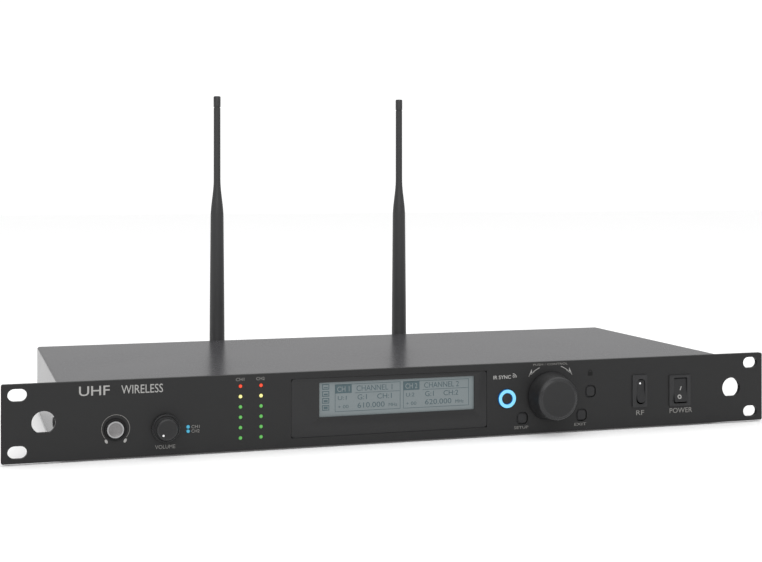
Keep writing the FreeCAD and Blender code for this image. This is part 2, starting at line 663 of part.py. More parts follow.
def make_keys():
    for label, across, up in KEYS:
        cap = rounded_block(label + "_cap", about(across, "key_wide / 2"),
                            (f"{FACE} - key_proud", "1"), about(up, "key_wide / 2"), "key_corner")
        wide = "key_wide / 2 + key_gap + 0.6"
        flange = block(label + "_flange", about(across, wide), ("0.6", "0.6 + key_flange"),
                       about(up, wide))
        stem = rod(label + "_stem", "y", (across, "1", up), "stem_end - 1", "stem_round")
        sub_part(fuse(label, cap, flange, stem), label)

    switches = []
    for number, (across, up) in enumerate([("sync_across", "sync_up")]
                                          + [key[1:] for key in KEYS]):
        half = "tact_wide / 2"
        case = block(f"tact_case_{number}", (f"{across} - {half}", f"{across} + {half}"),
                     ("tact_front + 0.6", "board_front"), (f"{up} - {half}", f"{up} + {half}"))
        dome = rod(f"tact_dome_{number}", "y", (across, "tact_front", up), "1.2",
                   "stem_round + 0.3")
        switches.append(fuse(f"tact_{number}", case, dome))
    sub_part(group("tact_switches", *switches), "tact_switches")


def make_rocker_switch(name, label):
    """A snap-in switch: a bezel and case, and a rocker that tips about a pin along X."""
    across, up = f"{name}_across", f"{name}_up"
    wide, tall = f"{name}_bezel_wide / 2", f"{name}_bezel_tall / 2"
    front = f"{FACE} - bezel_thick"
    bezel = block(f"{label}_bezel", about(across, wide), (front, FACE), about(up, tall))
    case = block(f"{label}_case", about(across, f"{wide} - switch_wall - 0.1"),
                 (FACE, "switch_deep"), about(up, f"{tall} - switch_wall - 0.1"))
    middle, height = f"{name}_rocker_across", f"{name}_rocker_up"
    half, mouth = f"{name}_rocker_wide / 2", f"{name}_mouth_half"
    opening = rounded_block(f"{label}_mouth", about(middle, f"{half} + 0.3"),
                            (f"{front} - 1", "0"), about(height, mouth), f"{name}_mouth_corner")
    cavity = block(f"{label}_cavity", about(middle, f"{half} + 0.3"), (FACE, "10.5"),
                   about(height, f"{mouth} + 0.6"))
    pin_hole = rod(f"{label}_pin_hole", "x", (f"{middle} - {half} - 1.1", "rocker_pivot", height),
                   f"2 * ({half} + 1.1)", "1.05")
    sub_part(cut(f"{label}_body", fuse(f"{label}_solid", bezel, case), opening, cavity, pin_hole),
             f"{label}_body")

    # the ends are rounded about the pin, so that the gap stays small as the rocker tips
    body = new_body(f"{label}_rocker_blank")
    profile = sketch_on(body, f"{label}_rocker_profile", "YZ_Plane", f"{middle} - {half}")
    upper, lower = about(height, f"{mouth} + 1")[::-1]
    draw_path(profile, [(f"{front} - rocker_tip", upper), (f"{front} + 0.5", height),
                        (f"{front} - rocker_tip", lower), ("rocker_under", lower),
                        ("rocker_under", f"{height} - 5"), ("rocker_pivot + 3.2", f"{height} - 2"),
                        ("rocker_pivot + 3.2", f"{height} + 2"), ("rocker_under", f"{height} + 5"),
                        ("rocker_under", upper)])
    pad(body, profile, f"2 * {half}", backwards=False)
    outline = rounded_block(f"{label}_rocker_outline", about(middle, half),
                            (f"{front} - 2", "rocker_pivot + 4"),
                            about(height, f"{mouth} - rocker_gap"),
                            f"{name}_mouth_corner + 0.2")
    swing = rod(f"{label}_rocker_swing", "x", (f"{middle} - {half} - 1", "rocker_pivot", height),
                f"2 * {half} + 2",
                f"sqrt(({mouth} - rocker_gap)^2 + (rocker_pivot - ({front}))^2)")
    shaped = overlap(f"{label}_rocker_shaped",
                     overlap(f"{label}_rocker_plan", body, outline), swing)
    pin = rod(f"{label}_pin", "x", (f"{middle} - {half} - 0.9", "rocker_pivot", height),
              f"2 * ({half} + 0.9)", "1")
    level = fuse(f"{label}_rocker_level", shaped, pin)
    doc.recompute()
    # at rest the upper end is pressed in, so that the lower end stands proud
    rocker = doc.addObject("Part::Feature", f"{label}_rocker")
    pivot = Vector(0, worth("rocker_pivot"), worth(height))
    shape = level.Shape.copy()
    shape.rotate(pivot, Vector(1, 0, 0), -worth("rocker_tilt"))
    rocker.Shape = shape
    sub_part(rocker, f"{label}_rocker")


# ---- Rear sockets ----------------------------------------------------------------------

def make_antenna_sockets():
    sockets, nuts = [], []
    for side in ("antenna_left", "antenna_right"):
        place = (side, "case_deep - 12", "rear_up")
        inner = rod(f"{side}_socket_rear", "y", place, "12", "bayonet_thread")
        flange = rod(f"{side}_socket_flange", "y", (side, "case_deep", "rear_up"), "1.5",
                     "bayonet_flange")
        barrel = rod(f"{side}_socket_barrel", "y", (side, "case_deep", "rear_up"),
                     "bayonet_long", "bayonet_round")
        bore = rod(f"{side}_socket_bore", "y", (side, "case_deep + 1", "rear_up"),
                   "bayonet_long", "bayonet_bore")
        sockets.append(cut(f"{side}_socket", fuse(f"{side}_socket_solid", inner, flange, barrel),
                           bore))
        blank = rod(f"{side}_nut_blank", "y", (side, "case_deep - tray_gauge - 2.5", "rear_up"),
                    "2.5", "bayonet_thread + 2.4")
        hole = rod(f"{side}_nut_hole", "y", (side, "case_deep - 6", "rear_up"), "6",
                   "bayonet_thread")
        nuts.append(cut(f"{side}_nut", blank, hole))
    sub_part(group("antenna_sockets", *sockets), "antenna_sockets")
    sub_part(group("antenna_socket_nuts", *nuts), "antenna_socket_nuts")


def make_xlr_sockets():
    screws = []
    for name in ("xlr_left", "xlr_right"):
        flange = block(f"{name}_flange", (f"{name} - xlr_wide / 2", f"{name} + xlr_wide / 2"),
                       ("case_deep", "case_deep + 1.8"),
                       ("rear_up - xlr_tall / 2", "rear_up + xlr_tall / 2"))
        shell = rod(f"{name}_shell", "y", (name, "case_deep - 20", "rear_up"), "20.5",
                    "xlr_round")
        cavity = rod(f"{name}_cavity", "y", (name, "case_deep + 1.8 - xlr_deep", "rear_up"),
                     "xlr_deep + 1", "xlr_bore")
        holes = []
        for side in (-1, 1):
            place = (f"{name} + {side} * xlr_screw_across", f"rear_up + {side} * xlr_screw_up")
            holes.append(rod(f"{name}_hole_{side}", "y", (place[0], "case_deep - 1", place[1]),
                             "4", "screw_round"))
            screws.append(screw_in(f"{name}_screw_{side}", "y", -1,
                                   [place[0], "case_deep + 1.8", place[1]], "4"))
        hollow = cut(f"{name}_hollow", fuse(f"{name}_solid", flange, shell), cavity, *holes)
        pins = [rod(f"{name}_pin_{turn}", "y",
                    (f"{name} + {4.6 * math.cos(math.radians(turn)):.3f}",
                     "case_deep + 1.6 - xlr_deep",
                     f"rear_up + {4.6 * math.sin(math.radians(turn)):.3f}"), "10", "1.1")
                for turn in (-90, 45, 135)]
        label = name.replace("xlr", "xlr_socket")
        sub_part(fuse(label, hollow, *pins), label)
    sub_part(group("xlr_screws", *screws), "xlr_screws")


def make_jack_sockets():
    sockets = []
    for name in ("jack_left", "jack_right"):
        half = "jack_body / 2"
        housing = block(f"{name}_housing", (f"{name} - {half}", f"{name} + {half}"),
                        ("case_deep - tray_gauge - jack_deep", "case_deep - tray_gauge"),
                        (f"rear_up - {half}", f"rear_up + {half}"))
        bush = rod(f"{name}_bush", "y", (name, "case_deep - 3", "rear_up"), "3 + jack_proud",
                   "jack_bush")
        rim = rod(f"{name}_rim", "y", (name, "case_deep", "rear_up"), "jack_proud",
                  "jack_bush + 2")
        bore = rod(f"{name}_bore", "y", (name, "case_deep - 20", "rear_up"), "20 + jack_proud + 1",
                   "jack_bore")
        sockets.append(cut(f"{name}_socket", fuse(f"{name}_solid", housing, bush, rim), bore))
    sub_part(group("jack_sockets", *sockets), "jack_sockets")


def make_other_sockets():
    half_wide, half_tall = "inlet_wide / 2", "inlet_tall / 2"
    case = block("inlet_case", (f"inlet_across - {half_wide}", f"inlet_across + {half_wide}"),
                 ("case_deep - inlet_deep", "case_deep + 0.8"),
                 (f"rear_up - {half_tall}", f"rear_up + {half_tall}"))
    hole = rod("inlet_hole", "y", ("inlet_across", "case_deep - 9", "rear_up"), "11",
               "inlet_bore")
    pin = rod("inlet_pin", "y", ("inlet_across", "case_deep - 9.5", "rear_up"), "9", "1")
    sub_part(fuse("dc_inlet", cut("inlet_hollow", case, hole), pin), "dc_inlet")

    half_wide, half_tall = "network_wide / 2", "network_tall / 2"
    case = block("network_case",
                 (f"network_across - {half_wide}", f"network_across + {half_wide}"),
                 ("case_deep - network_deep", "case_deep + 0.6"),
                 (f"rear_up - {half_tall}", f"rear_up + {half_tall}"))
    mouth = block("network_mouth",
                  (f"network_across - {half_wide} + 1.9", f"network_across + {half_wide} - 1.9"),
                  ("case_deep - network_deep + 4", "case_deep + 1"),
                  (f"rear_up - {half_tall} + 2.6", f"rear_up + {half_tall} - 2.6"))
    sub_part(cut("network_socket", case, mouth), "network_socket")

    arch = rod("hook_blank", "y", ("hook_across", "case_deep", "rear_up"), "hook_out", "5")
    inside = rod("hook_inside", "y", ("hook_across", "case_deep + 2.5", "rear_up"), "hook_out",
                 "3.2")
    mouth = block("hook_mouth", ("hook_across - 1.9", "hook_across + 1.9"),
                  ("case_deep + 2.5", "case_deep + hook_out + 1"), ("rear_up", "rear_up + 6"))
    sub_part(cut("cord_hook", arch, inside, mouth), "cord_hook")


# ---- Inside the case -------------------------------------------------------------------

def make_inside():
    floor = "case_base + tray_gauge"
    board = f"{floor} + spacer_tall"
    places = [(f"{side} * spacer_across", place)
              for side in (-1, 0, 1) for place in ("spacer_front", "spacer_back")]
    blank = block("main_board_blank", ("main_left", "main_right"), ("main_front", "main_back"),
                  (board, f"{board} + board_thick"))
    holes = [rod(f"main_hole_{number}", "z", (across, deep, f"{board} - 1"), "board_thick + 2",
                 "screw_round + 0.1") for number, (across, deep) in enumerate(places)]
    sub_part(cut("main_board", blank, *holes), "main_board")

    spacers = []
    for number, (across, deep) in enumerate(places):
        post = rod(f"spacer_post_{number}", "z", (across, deep, floor), "spacer_tall",
                   "spacer_round")
        tap = rod(f"spacer_tap_{number}", "z", (across, deep, f"{board} - 3.3"), "4",
                  "screw_round")
        spacers.append(cut(f"spacer_{number}", post, tap))
    sub_part(group("board_spacers", *spacers), "board_spacers")

    top = f"{board} + board_thick"
    shields = []
    for name in ("antenna_left", "antenna_right"):
        can = block(f"{name}_can", (f"{name} - 19", f"{name} + 19"), ("60", "128"),
                    (top, f"{top} + 9"))
        inside = block(f"{name}_can_inside", (f"{name} - 18.5", f"{name} + 18.5"),
                       ("60.5", "127.5"), (f"{top} - 1", f"{top} + 8.5"))
        shields.append(cut(f"{name}_shield", can, inside))
    sub_part(group("shield_cans", *shields), "shield_cans")

    base = block("heatsink_base", ("140", "172"), ("90", "132"), (top, f"{top} + 3"))
    fins = [block(f"heatsink_fin_{number}", (f"140 + {number} * 6", f"142 + {number} * 6"),
                  ("90", "132"), (f"{top} + 2", f"{top} + 16")) for number in range(6)]
    sub_part(fuse("heatsink", base, *fins), "heatsink")

    run = block("ribbon_run", ("-60", "-20"), ("board_front + board_thick + 0.3", "36"),
                ("-10.2", "-9.4"))
    drop = block("ribbon_drop", ("-60", "-20"), ("35.2", "36"), (top, "-9.4"))
    sub_part(fuse("ribbon_cable", run, drop), "ribbon_cable")

    leads = []
    for name in ("antenna_left", "antenna_right"):
        back = "case_deep - 12"
        level = rod(f"{name}_lead_level", "y", (name, "134", "rear_up"), f"{back} - 134", "1.2")
        plug = rod(f"{name}_lead_plug", "z", (name, "134", top), f"rear_up + 2 - ({top})",
                   "1.7")
        leads.append(fuse(f"{name}_lead", level, plug))
    sub_part(group("antenna_leads", *leads), "antenna_leads")


# ---- Antennas --------------------------------------------------------------------------

def make_antenna(name):
    """A bayonet collar, a swivelling forked elbow, a pin and a tapered whip."""
    across = name
    start = "case_deep + 1.5 + pivot_gap"
    collar = rod(f"{name}_collar", "y", (across, start, "rear_up"), "9", "coupling_round")
    hole = rod(f"{name}_collar_hole", "y", (across, "case_deep", "rear_up"), "16",
               "bayonet_round + coupling_gap")
    sub_part(cut(f"{name}_coupling", collar, hole), f"{name}_coupling")

    plug = rod(f"{name}_plug", "y", (across, "case_deep + 1.5", "rear_up"), "10",
               "bayonet_bore - shaft_gap")
    neck = rod(f"{name}_neck", "y", (across, "case_deep + 11.1", "rear_up"), "2.4",
               "fork_round - 0.4")
    heel = rod(f"{name}_heel", "y", (across, "case_deep + 13", "rear_up"),
               "hinge_deep - case_deep - 13.8", "fork_round - 0.2")
    nose = rod(f"{name}_nose", "x", (f"{across} - fork_half", "hinge_deep", "rear_up"),
               "2 * fork_half", "fork_round")
    gap = block(f"{name}_fork_gap",
                (f"{across} - tongue_half - pivot_gap", f"{across} + tongue_half + pivot_gap"),
                ("hinge_deep - tongue_round - pivot_gap", "hinge_deep + 10"),
                ("rear_up - 10", "rear_up + 10"))
    bore = rod(f"{name}_fork_bore", "x", (f"{across} - 10", "hinge_deep", "rear_up"), "20",
               "pin_round")
    sub_part(cut(f"{name}_elbow", fuse(f"{name}_elbow_solid", plug, neck, heel, nose), gap, bore),
             f"{name}_elbow")
    sub_part(rod(f"{name}_hinge_pin", "x", (f"{across} - fork_half", "hinge_deep", "rear_up"),
                 "2 * fork_half", "pin_round"), f"{name}_hinge_pin")

    # the whip is turned about the upright through the hinge
    base = "rear_up + fork_round + pivot_gap"
    flare = "whip_top - tip_long - thin_long"
    radii = (("0", "whip_top"), ("tip_round - 0.5", "whip_top"), ("tip_round", "whip_top - 0.6"),
             ("tip_round", "whip_top - tip_long"), ("whip_thin", "whip_top - tip_long - 0.3"),
             ("whip_thin", flare), ("whip_flare", f"{flare} - flare_long"),
             ("whip_base", f"{base} + 12"), ("whip_collar", f"{base} + 11"),
             ("whip_collar", f"{base} + 1"), ("whip_collar - 1", base), ("0", base))
    rod_body = new_body(f"{name}_whip_body")
    profile = sketch_on(rod_body, f"{name}_whip_profile", "XZ_Plane")
    draw_path(profile, [(radius, place) for radius, place in radii])
    turn = rod_body.newObject("PartDesign::Revolution", f"{name}_whip_turn")
    turn.Profile = profile
    turn.ReferenceAxis = (profile, ["V_Axis"])
    turn.Angle = 360
    bind(rod_body, "Placement.Base.x", across)
    bind(rod_body, "Placement.Base.y", "hinge_deep")
    ear = rod(f"{name}_ear", "x", (f"{across} - tongue_half", "hinge_deep", "rear_up"),
              "2 * tongue_half", "tongue_round")
    web = block(f"{name}_web", (f"{across} - tongue_half", f"{across} + tongue_half"),
                ("hinge_deep - tongue_round + 0.4", "hinge_deep + tongue_round - 0.4"),
                ("rear_up", f"{base} + 0.5"))
    eye = rod(f"{name}_eye", "x", (f"{across} - 10", "hinge_deep", "rear_up"), "20",
              "pin_round + shaft_gap")
    sub_part(cut(f"{name}_whip", fuse(f"{name}_whip_solid", rod_body, ear, web), eye),
             f"{name}_whip")


# ---- Build and export ------------------------------------------------------------------

def check_and_export():
    doc.recompute()
    for thing in doc.Objects:
        failed = [state for state in thing.State if state in ("Invalid", "Error")]
        if failed:
            raise RuntimeError(f"{thing.Name} is {failed[0]}")
    os.makedirs("parts", exist_ok=True)
    for node in nodes:
        shape = node.Shape
        if shape.isNull() or not shape.isValid() or not shape.Solids:
            raise RuntimeError(f"{node.Label} has no valid shape")
        shape.exportStep(f"parts/{node.Label}.step")
        print(f"{node.Label}: {len(shape.Solids)} solids, {shape.Volume / 1000:.2f} cm3")
    print(len(nodes), "sub-parts")


make_front_panel()
make_tray()
make_cover()
make_case_screws()
make_feet()
make_display()
make_lights()
make_control_board()
make_headphone_socket()
make_nuts()
make_volume()
make_encoder()
make_sync_button()
make_keys()
make_rocker_switch("radio", "rf_switch")
make_rocker_switch("power", "power_switch")
make_antenna_sockets()
make_xlr_sockets()
make_jack_sockets()
make_other_sockets()
make_inside()
for antenna in ("antenna_left", "antenna_right"):
    make_antenna(antenna)
check_and_export()
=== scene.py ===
import math

import bpy
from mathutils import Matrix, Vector


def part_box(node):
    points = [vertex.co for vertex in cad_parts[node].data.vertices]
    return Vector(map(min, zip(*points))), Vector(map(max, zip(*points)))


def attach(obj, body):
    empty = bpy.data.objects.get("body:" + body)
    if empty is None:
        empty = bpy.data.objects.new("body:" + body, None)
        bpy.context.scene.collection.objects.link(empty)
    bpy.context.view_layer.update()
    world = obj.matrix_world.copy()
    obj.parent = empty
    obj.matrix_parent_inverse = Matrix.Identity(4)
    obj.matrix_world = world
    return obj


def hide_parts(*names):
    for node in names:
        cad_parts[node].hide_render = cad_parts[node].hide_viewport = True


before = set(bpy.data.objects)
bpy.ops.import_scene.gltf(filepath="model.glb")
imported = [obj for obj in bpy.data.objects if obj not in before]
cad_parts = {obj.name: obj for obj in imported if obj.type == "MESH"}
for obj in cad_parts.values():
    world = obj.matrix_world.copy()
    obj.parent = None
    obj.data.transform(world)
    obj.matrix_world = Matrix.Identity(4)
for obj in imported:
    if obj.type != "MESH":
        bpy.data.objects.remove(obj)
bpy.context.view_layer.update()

# A one-unit rack-width wireless audio unit: charcoal panel, satin case, two whip antennas.
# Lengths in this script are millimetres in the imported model's frame (+X right, +Y back,
# +Z up), turned to metres where a mesh is made.

MM = 0.001


def node_box(name):
    """Lowest and highest corner of a node, in millimetres."""
    low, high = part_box(name)
    return Vector(low) / MM, Vector(high) / MM


def middle(name):
    low, high = node_box(name)
    return (low + high) / 2


PANEL_LOW, PANEL_HIGH = node_box("front_panel")
FACE = PANEL_LOW.y                    # the panel's front face
PANEL_BASE = PANEL_LOW.z
CASE_BACK = node_box("chassis_tray")[1].y
FLOOR = node_box("rubber_feet")[0].z
PRINT = 0.06                          # thickness of printed legends
LCD_VIEW = (-59.5, 38.8, -5.25, 15.3)  # visible part of the display: left, right, low, high
LED_ROUND = 1.1                       # radius of a light pipe
FOOT_ROUND = 8
SCREW_HEAD, SCREW_TALL = 2.9, 1.1     # radius and height of a screw's head
XLR_SCREW = (9.5, 12)                 # a socket's screws, across and up from its middle
JACK_HALF = 7.5                       # half the width of a jack's housing
FORK_ROUND = 5.6                      # radius of the antenna fork's rounded end
PIN_ROUND = 1.5                       # radius of the antenna's hinge pin


# ---- Materials -------------------------------------------------------------------------

SMUDGE = 0.06                         # how much a finish's tone drifts across a surface


def finish(name, colour, rough=(0.4, 0.5), grain=2500, bump=0.12, depth=0.05, fleck=0.08,
           metallic=0.0, specular=0.5, glow=0.0, stretch=(1, 1, 1)):
    """A moulded, painted or plated surface: grain, a slow variation of tone and a fine bump.

    grain is in features per metre and depth, the bump's height, in millimetres.
    """
    material = bpy.data.materials.new(name)
    material.use_nodes = True
    tree = material.node_tree
    link = tree.links.new
    shader = tree.nodes["Principled BSDF"]
    shader.inputs["Metallic"].default_value = metallic
    shader.inputs["Specular IOR Level"].default_value = specular

    place = tree.nodes.new("ShaderNodeTexCoord")
    mapping = tree.nodes.new("ShaderNodeMapping")
    mapping.inputs["Scale"].default_value = stretch
    fine = tree.nodes.new("ShaderNodeTexNoise")
    fine.inputs["Scale"].default_value = grain
    fine.inputs["Detail"].default_value = 3
    slow = tree.nodes.new("ShaderNodeTexNoise")
    slow.inputs["Scale"].default_value = grain / 90
    slow.inputs["Detail"].default_value = 2
    link(place.outputs["Object"], mapping.inputs["Vector"])
    for noise in (fine, slow):
        link(mapping.outputs["Vector"], noise.inputs["Vector"])

    ramp = tree.nodes.new("ShaderNodeValToRGB")
    for element, place_at, factor in zip(ramp.color_ramp.elements, (0.3, 0.7),
                                         (1 - fleck, 1 + fleck)):
        element.position = place_at
        element.color = (*(min(channel * factor, 1) for channel in colour), 1)
    blend = tree.nodes.new("ShaderNodeMath")
    blend.operation = "MULTIPLY_ADD"
    blend.inputs[1].default_value = SMUDGE * 4
    link(slow.outputs["Fac"], blend.inputs[0])
    link(fine.outputs["Fac"], blend.inputs[2])
    offset = tree.nodes.new("ShaderNodeMath")
    offset.operation = "SUBTRACT"
    offset.inputs[1].default_value = SMUDGE * 2
    link(blend.outputs["Value"], offset.inputs[0])
    link(offset.outputs["Value"], ramp.inputs["Fac"])
    link(ramp.outputs["Color"], shader.inputs["Base Color"])

    spread = tree.nodes.new("ShaderNodeMapRange")
    spread.inputs["From Min"].default_value = 0.3
    spread.inputs["From Max"].default_value = 0.7
    spread.inputs["To Min"].default_value, spread.inputs["To Max"].default_value = rough
    link(offset.outputs["Value"], spread.inputs["Value"])
    link(spread.outputs["Result"], shader.inputs["Roughness"])

    relief = tree.nodes.new("ShaderNodeBump")
    relief.inputs["Strength"].default_value = bump
    relief.inputs["Distance"].default_value = depth * MM
    link(fine.outputs["Fac"], relief.inputs["Height"])
    link(relief.outputs["Normal"], shader.inputs["Normal"])

    if glow:
        shader.inputs["Emission Color"].default_value = (*colour, 1)
        shader.inputs["Emission Strength"].default_value = glow
    return material


PAINT = {
    "panel": finish("charcoal_powder_coat", (0.0165, 0.0165, 0.0168), (0.46, 0.58), 2600, 0.2,
                    0.04, specular=0.27),
    "case": finish("satin_case_paint", (0.046, 0.0455, 0.05), (0.22, 0.28), 1500, 0.06, 0.02,
                   fleck=0.05),
    "window": finish("smoked_acrylic", (0.0195, 0.0195, 0.02), (0.3, 0.36), 900, 0.03, 0.01,
                     fleck=0.03, specular=0.28),
    # The control knob's skirt and side wall are a darker copy of the knob's moulding: painted
    # shade on the side away from the light.
    "knob_side_painted_shade": finish("dark_knob_side_painted_shade", (0.017, 0.017, 0.0175), (0.45, 0.55), 2600, 0.15,
                        0.03, specular=0.3, stretch=(1, 0.2, 1)),
    # The volume knob's groove and side wall are a lighter copy of the knob's moulding: painted
    # light that lifts the shade in the groove and on the wall.
    "knob_wall_painted_light": finish("volume_knob_wall_painted_light", (0.036, 0.036, 0.037), (0.45, 0.55), 2600, 0.15,
                        0.03, specular=0.4),
    "bezel": finish("switch_bezel_moulding", (0.022, 0.022, 0.023), (0.4, 0.5), 2600, 0.2, 0.03,
                    specular=0.32),
    # The headphone ring nut is a black part whose tone is pushed near black, darker than the
    # panel: painted shade of the recess round the socket.
    "ring_nut_painted_shade": finish("black_ring_nut_painted_shade", (0.008, 0.008, 0.008), (0.5, 0.6), 2200, 0.15, 0.03,
                       specular=0.2),
    "knob": finish("soft_black_moulding", (0.0185, 0.0185, 0.019), (0.42, 0.52), 3000, 0.2, 0.03,
                   specular=0.28),
    "knob_rim": finish("polished_knob_rim", (0.018, 0.018, 0.019), (0.24, 0.32), 3000, 0.1,
                       0.02, specular=0.4),
    "key": finish("matt_key_moulding", (0.02, 0.02, 0.021), (0.45, 0.55), 3000, 0.2, 0.03,
                  specular=0.28),
    "black": finish("black_moulding", (0.014, 0.014, 0.015), (0.4, 0.5), 2200, 0.2, 0.04,
                    specular=0.4),
    "sleeve": finish("antenna_sleeve", (0.033, 0.033, 0.034), (0.36, 0.46), 1800, 0.15, 0.03,
                     specular=0.42),
    "rubber": finish("foot_rubber", (0.02, 0.02, 0.02), (0.7, 0.85), 1600, 0.3, 0.08,
                     specular=0.3),
    "cap": finish("satin_turned_metal", (0.36, 0.36, 0.365), (0.34, 0.42), 1500, 0.1, 0.02,
                  metallic=0.35, fleck=0.05),
    # The cap's sunk middle dish is a darker copy of the cap's metal: painted shade in the hollow.
    "cap_dish_painted_shade": finish("cap_dish_darker_painted_shade", (0.19, 0.185, 0.185), (0.36, 0.44), 1500, 0.1, 0.02,
                       metallic=0.35, fleck=0.12),
    "nickel": finish("nickel_plate", (0.62, 0.6, 0.56), (0.16, 0.26), 1400, 0.08, 0.01,
                     metallic=1.0, fleck=0.05),
    "contact": finish("gilded_contact", (0.75, 0.52, 0.2), (0.2, 0.3), 1400, 0.05, 0.01,
                      metallic=1.0, fleck=0.05),
    "zinc": finish("zinc_plate", (0.55, 0.56, 0.58), (0.28, 0.42), 900, 0.15, 0.02,
                   metallic=1.0, fleck=0.1),
    "oxide": finish("black_oxide_screw", (0.03, 0.03, 0.032), (0.3, 0.42), 1800, 0.1, 0.02,
                    metallic=0.6),
    "board": finish("green_solder_mask", (0.012, 0.1, 0.035), (0.25, 0.35), 700, 0.2, 0.04,
                    fleck=0.2),
    "white_frame": finish("white_light_guide", (0.7, 0.7, 0.68), (0.4, 0.5), 1500),
    "fins": finish("black_anodised_fins", (0.02, 0.02, 0.021), (0.35, 0.45), 1200,
                   metallic=0.4),
    "cable": finish("grey_cable_jacket", (0.2, 0.2, 0.2), (0.45, 0.55), 1500),
    "lcd": finish("display_ground", (0.135, 0.155, 0.16), (0.3, 0.36), 4000, 0.02, 0.01,
                  fleck=0.03, specular=0.25, glow=0.4),
    "lcd_ink": finish("display_segments", (0.06, 0.088, 0.097), (0.35, 0.4), 4000, 0.02, 0.01,
                      fleck=0.04, specular=0.2, glow=0.25),
    "print": finish("pale_grey_print", (0.34, 0.335, 0.325), (0.5, 0.6), 5000, 0.1, 0.01),
    "dim_print": finish("dim_grey_print", (0.2, 0.195, 0.185), (0.5, 0.6), 5000, 0.1, 0.01),
    "dark_print": finish("dark_print", (0.0132, 0.0132, 0.0132), (0.6, 0.7), 5000, 0.1, 0.01,
                         specular=0.1),
    # White marks with a faint glow that no lamp gives: painted light on the volume knob's pointer
    # dot and on the RF rocker's dot.
    "white_mark_painted_glow": finish("white_mark_painted_glow", (0.75, 0.75, 0.75), (0.4, 0.5), 4000, glow=0.1),
    "red": finish("red_light", (0.72, 0.06, 0.025), (0.3, 0.4), 3000, glow=0.45, specular=0.3),
    "yellow": finish("yellow_light", (0.78, 0.74, 0.26), (0.3, 0.4), 3000, glow=0.5,
                     specular=0.3),
    "green": finish("green_light", (0.09, 0.33, 0.075), (0.3, 0.4), 3000, glow=0.5,
                    specular=0.3),
    "blue": finish("blue_light", (0.06, 0.32, 0.47), (0.3, 0.4), 3000, glow=0.3,
                   specular=0.3),
    "ring": finish("lit_ring_face", (0.15, 0.44, 0.62), (0.3, 0.4), 3000, glow=0.7,
                   specular=0.3),
    "ring_side": finish("lit_ring_side", (0.0, 0.1, 0.36), (0.3, 0.4), 3000, glow=0.35),
}

NODE_PAINT = {
    "panel": ["front_panel"],
    "case": ["chassis_tray", "top_cover"],
    "oxide": ["cover_screws", "xlr_screws"],
    "zinc": ["machine_screws", "volume_pot", "encoder_body", "network_socket", "shield_cans",
             "antenna_left_hinge_pin", "antenna_right_hinge_pin"],
    "rubber": ["rubber_feet"],
    "window": ["display_window"],
    "lcd": ["lcd_glass"],
    "white_frame": ["lcd_backlight"],
    "red": ["meter_leds_red"], "yellow": ["meter_leds_yellow"],
    "green": ["meter_leds_green"], "blue": ["channel_leds_blue"],
    "board": ["control_board", "main_board"],
    "ring_nut_painted_shade": ["headphone_ring"],
    "bezel": ["rf_switch_body", "power_switch_body"],
    "black": ["headphone_socket", "encoder_rotor", "tact_switches", "xlr_socket_left",
              "xlr_socket_right", "jack_sockets", "dc_inlet", "cord_hook",
              "antenna_left_elbow", "antenna_right_elbow"],
    "cap": ["headphone_cap"],
    "nickel": ["bushing_nuts", "volume_shaft", "encoder_shaft", "antenna_sockets",
               "antenna_socket_nuts", "board_spacers", "antenna_left_coupling",
               "antenna_right_coupling"],
    "knob": ["volume_knob", "control_knob"],
    "key": ["sync_button", "setup_button", "exit_button", "lock_button", "rf_switch_rocker",
            "power_switch_rocker"],
    "ring": ["sync_light_ring"],
    "fins": ["heatsink"],
    "cable": ["ribbon_cable", "antenna_leads"],
    "sleeve": ["antenna_left_whip", "antenna_right_whip"],
}


def paint_nodes():
    for paint, names in NODE_PAINT.items():
        for name in names:
            mesh_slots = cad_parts[name].material_slots
            for mesh_slot in mesh_slots:
                mesh_slot.material = PAINT[paint]


# ---- Room, light and camera ------------------------------------------------------------

def make_room():
    bpy.ops.object.select_all(action="DESELECT")
    bpy.ops.mesh.primitive_plane_add(size=12, location=(0, 0, FLOOR * MM))
    floor = bpy.context.object
    floor.name = "studio_floor"
    paper = finish("white_paper", (0.93, 0.93, 0.93), (0.8, 0.9), 400, 0.02, 0.05, fleck=0.01,
                   specular=0.1, glow=0.09)
    floor.data.materials.append(paper)

    world = bpy.data.worlds.new("studio")
    world.use_nodes = True
    bpy.context.scene.world = world
    tree = world.node_tree
    link = tree.links.new
    ambient = tree.nodes["Background"]
    ambient.inputs["Color"].default_value = (1, 1, 1, 1)
    ambient.inputs["Strength"].default_value = 0.56
    backdrop = tree.nodes.new("ShaderNodeBackground")
    backdrop.inputs["Color"].default_value = (1, 1, 1, 1)
    backdrop.inputs["Strength"].default_value = 1.1
    seen = tree.nodes.new("ShaderNodeLightPath")
    mix = tree.nodes.new("ShaderNodeMixShader")
    link(seen.outputs["Is Camera Ray"], mix.inputs["Fac"])
    link(ambient.outputs["Background"], mix.inputs[1])
    link(backdrop.outputs["Background"], mix.inputs[2])
    link(mix.outputs["Shader"], tree.nodes["World Output"].inputs["Surface"])


def make_light(name, location, target, size, power):
    bpy.ops.object.light_add(type="AREA", location=location)
    lamp = bpy.context.object
    lamp.name = name
    lamp.data.shape = "RECTANGLE"
    lamp.data.size, lamp.data.size_y = size
    lamp.data.energy = power
    aim = Vector(target) - Vector(location)
    lamp.rotation_euler = aim.to_track_quat("-Z", "Y").to_euler()


def make_skylight():
    """A wide even light from above, so that the floor is as pale far away as it is near."""
    bpy.ops.object.light_add(type="SUN", location=(0, 0, 2))
    sky = bpy.context.object
    sky.name = "even_skylight"
    sky.data.energy = 1.35
    sky.data.angle = math.radians(120)
    sky.rotation_euler = (math.radians(12), 0, 0)


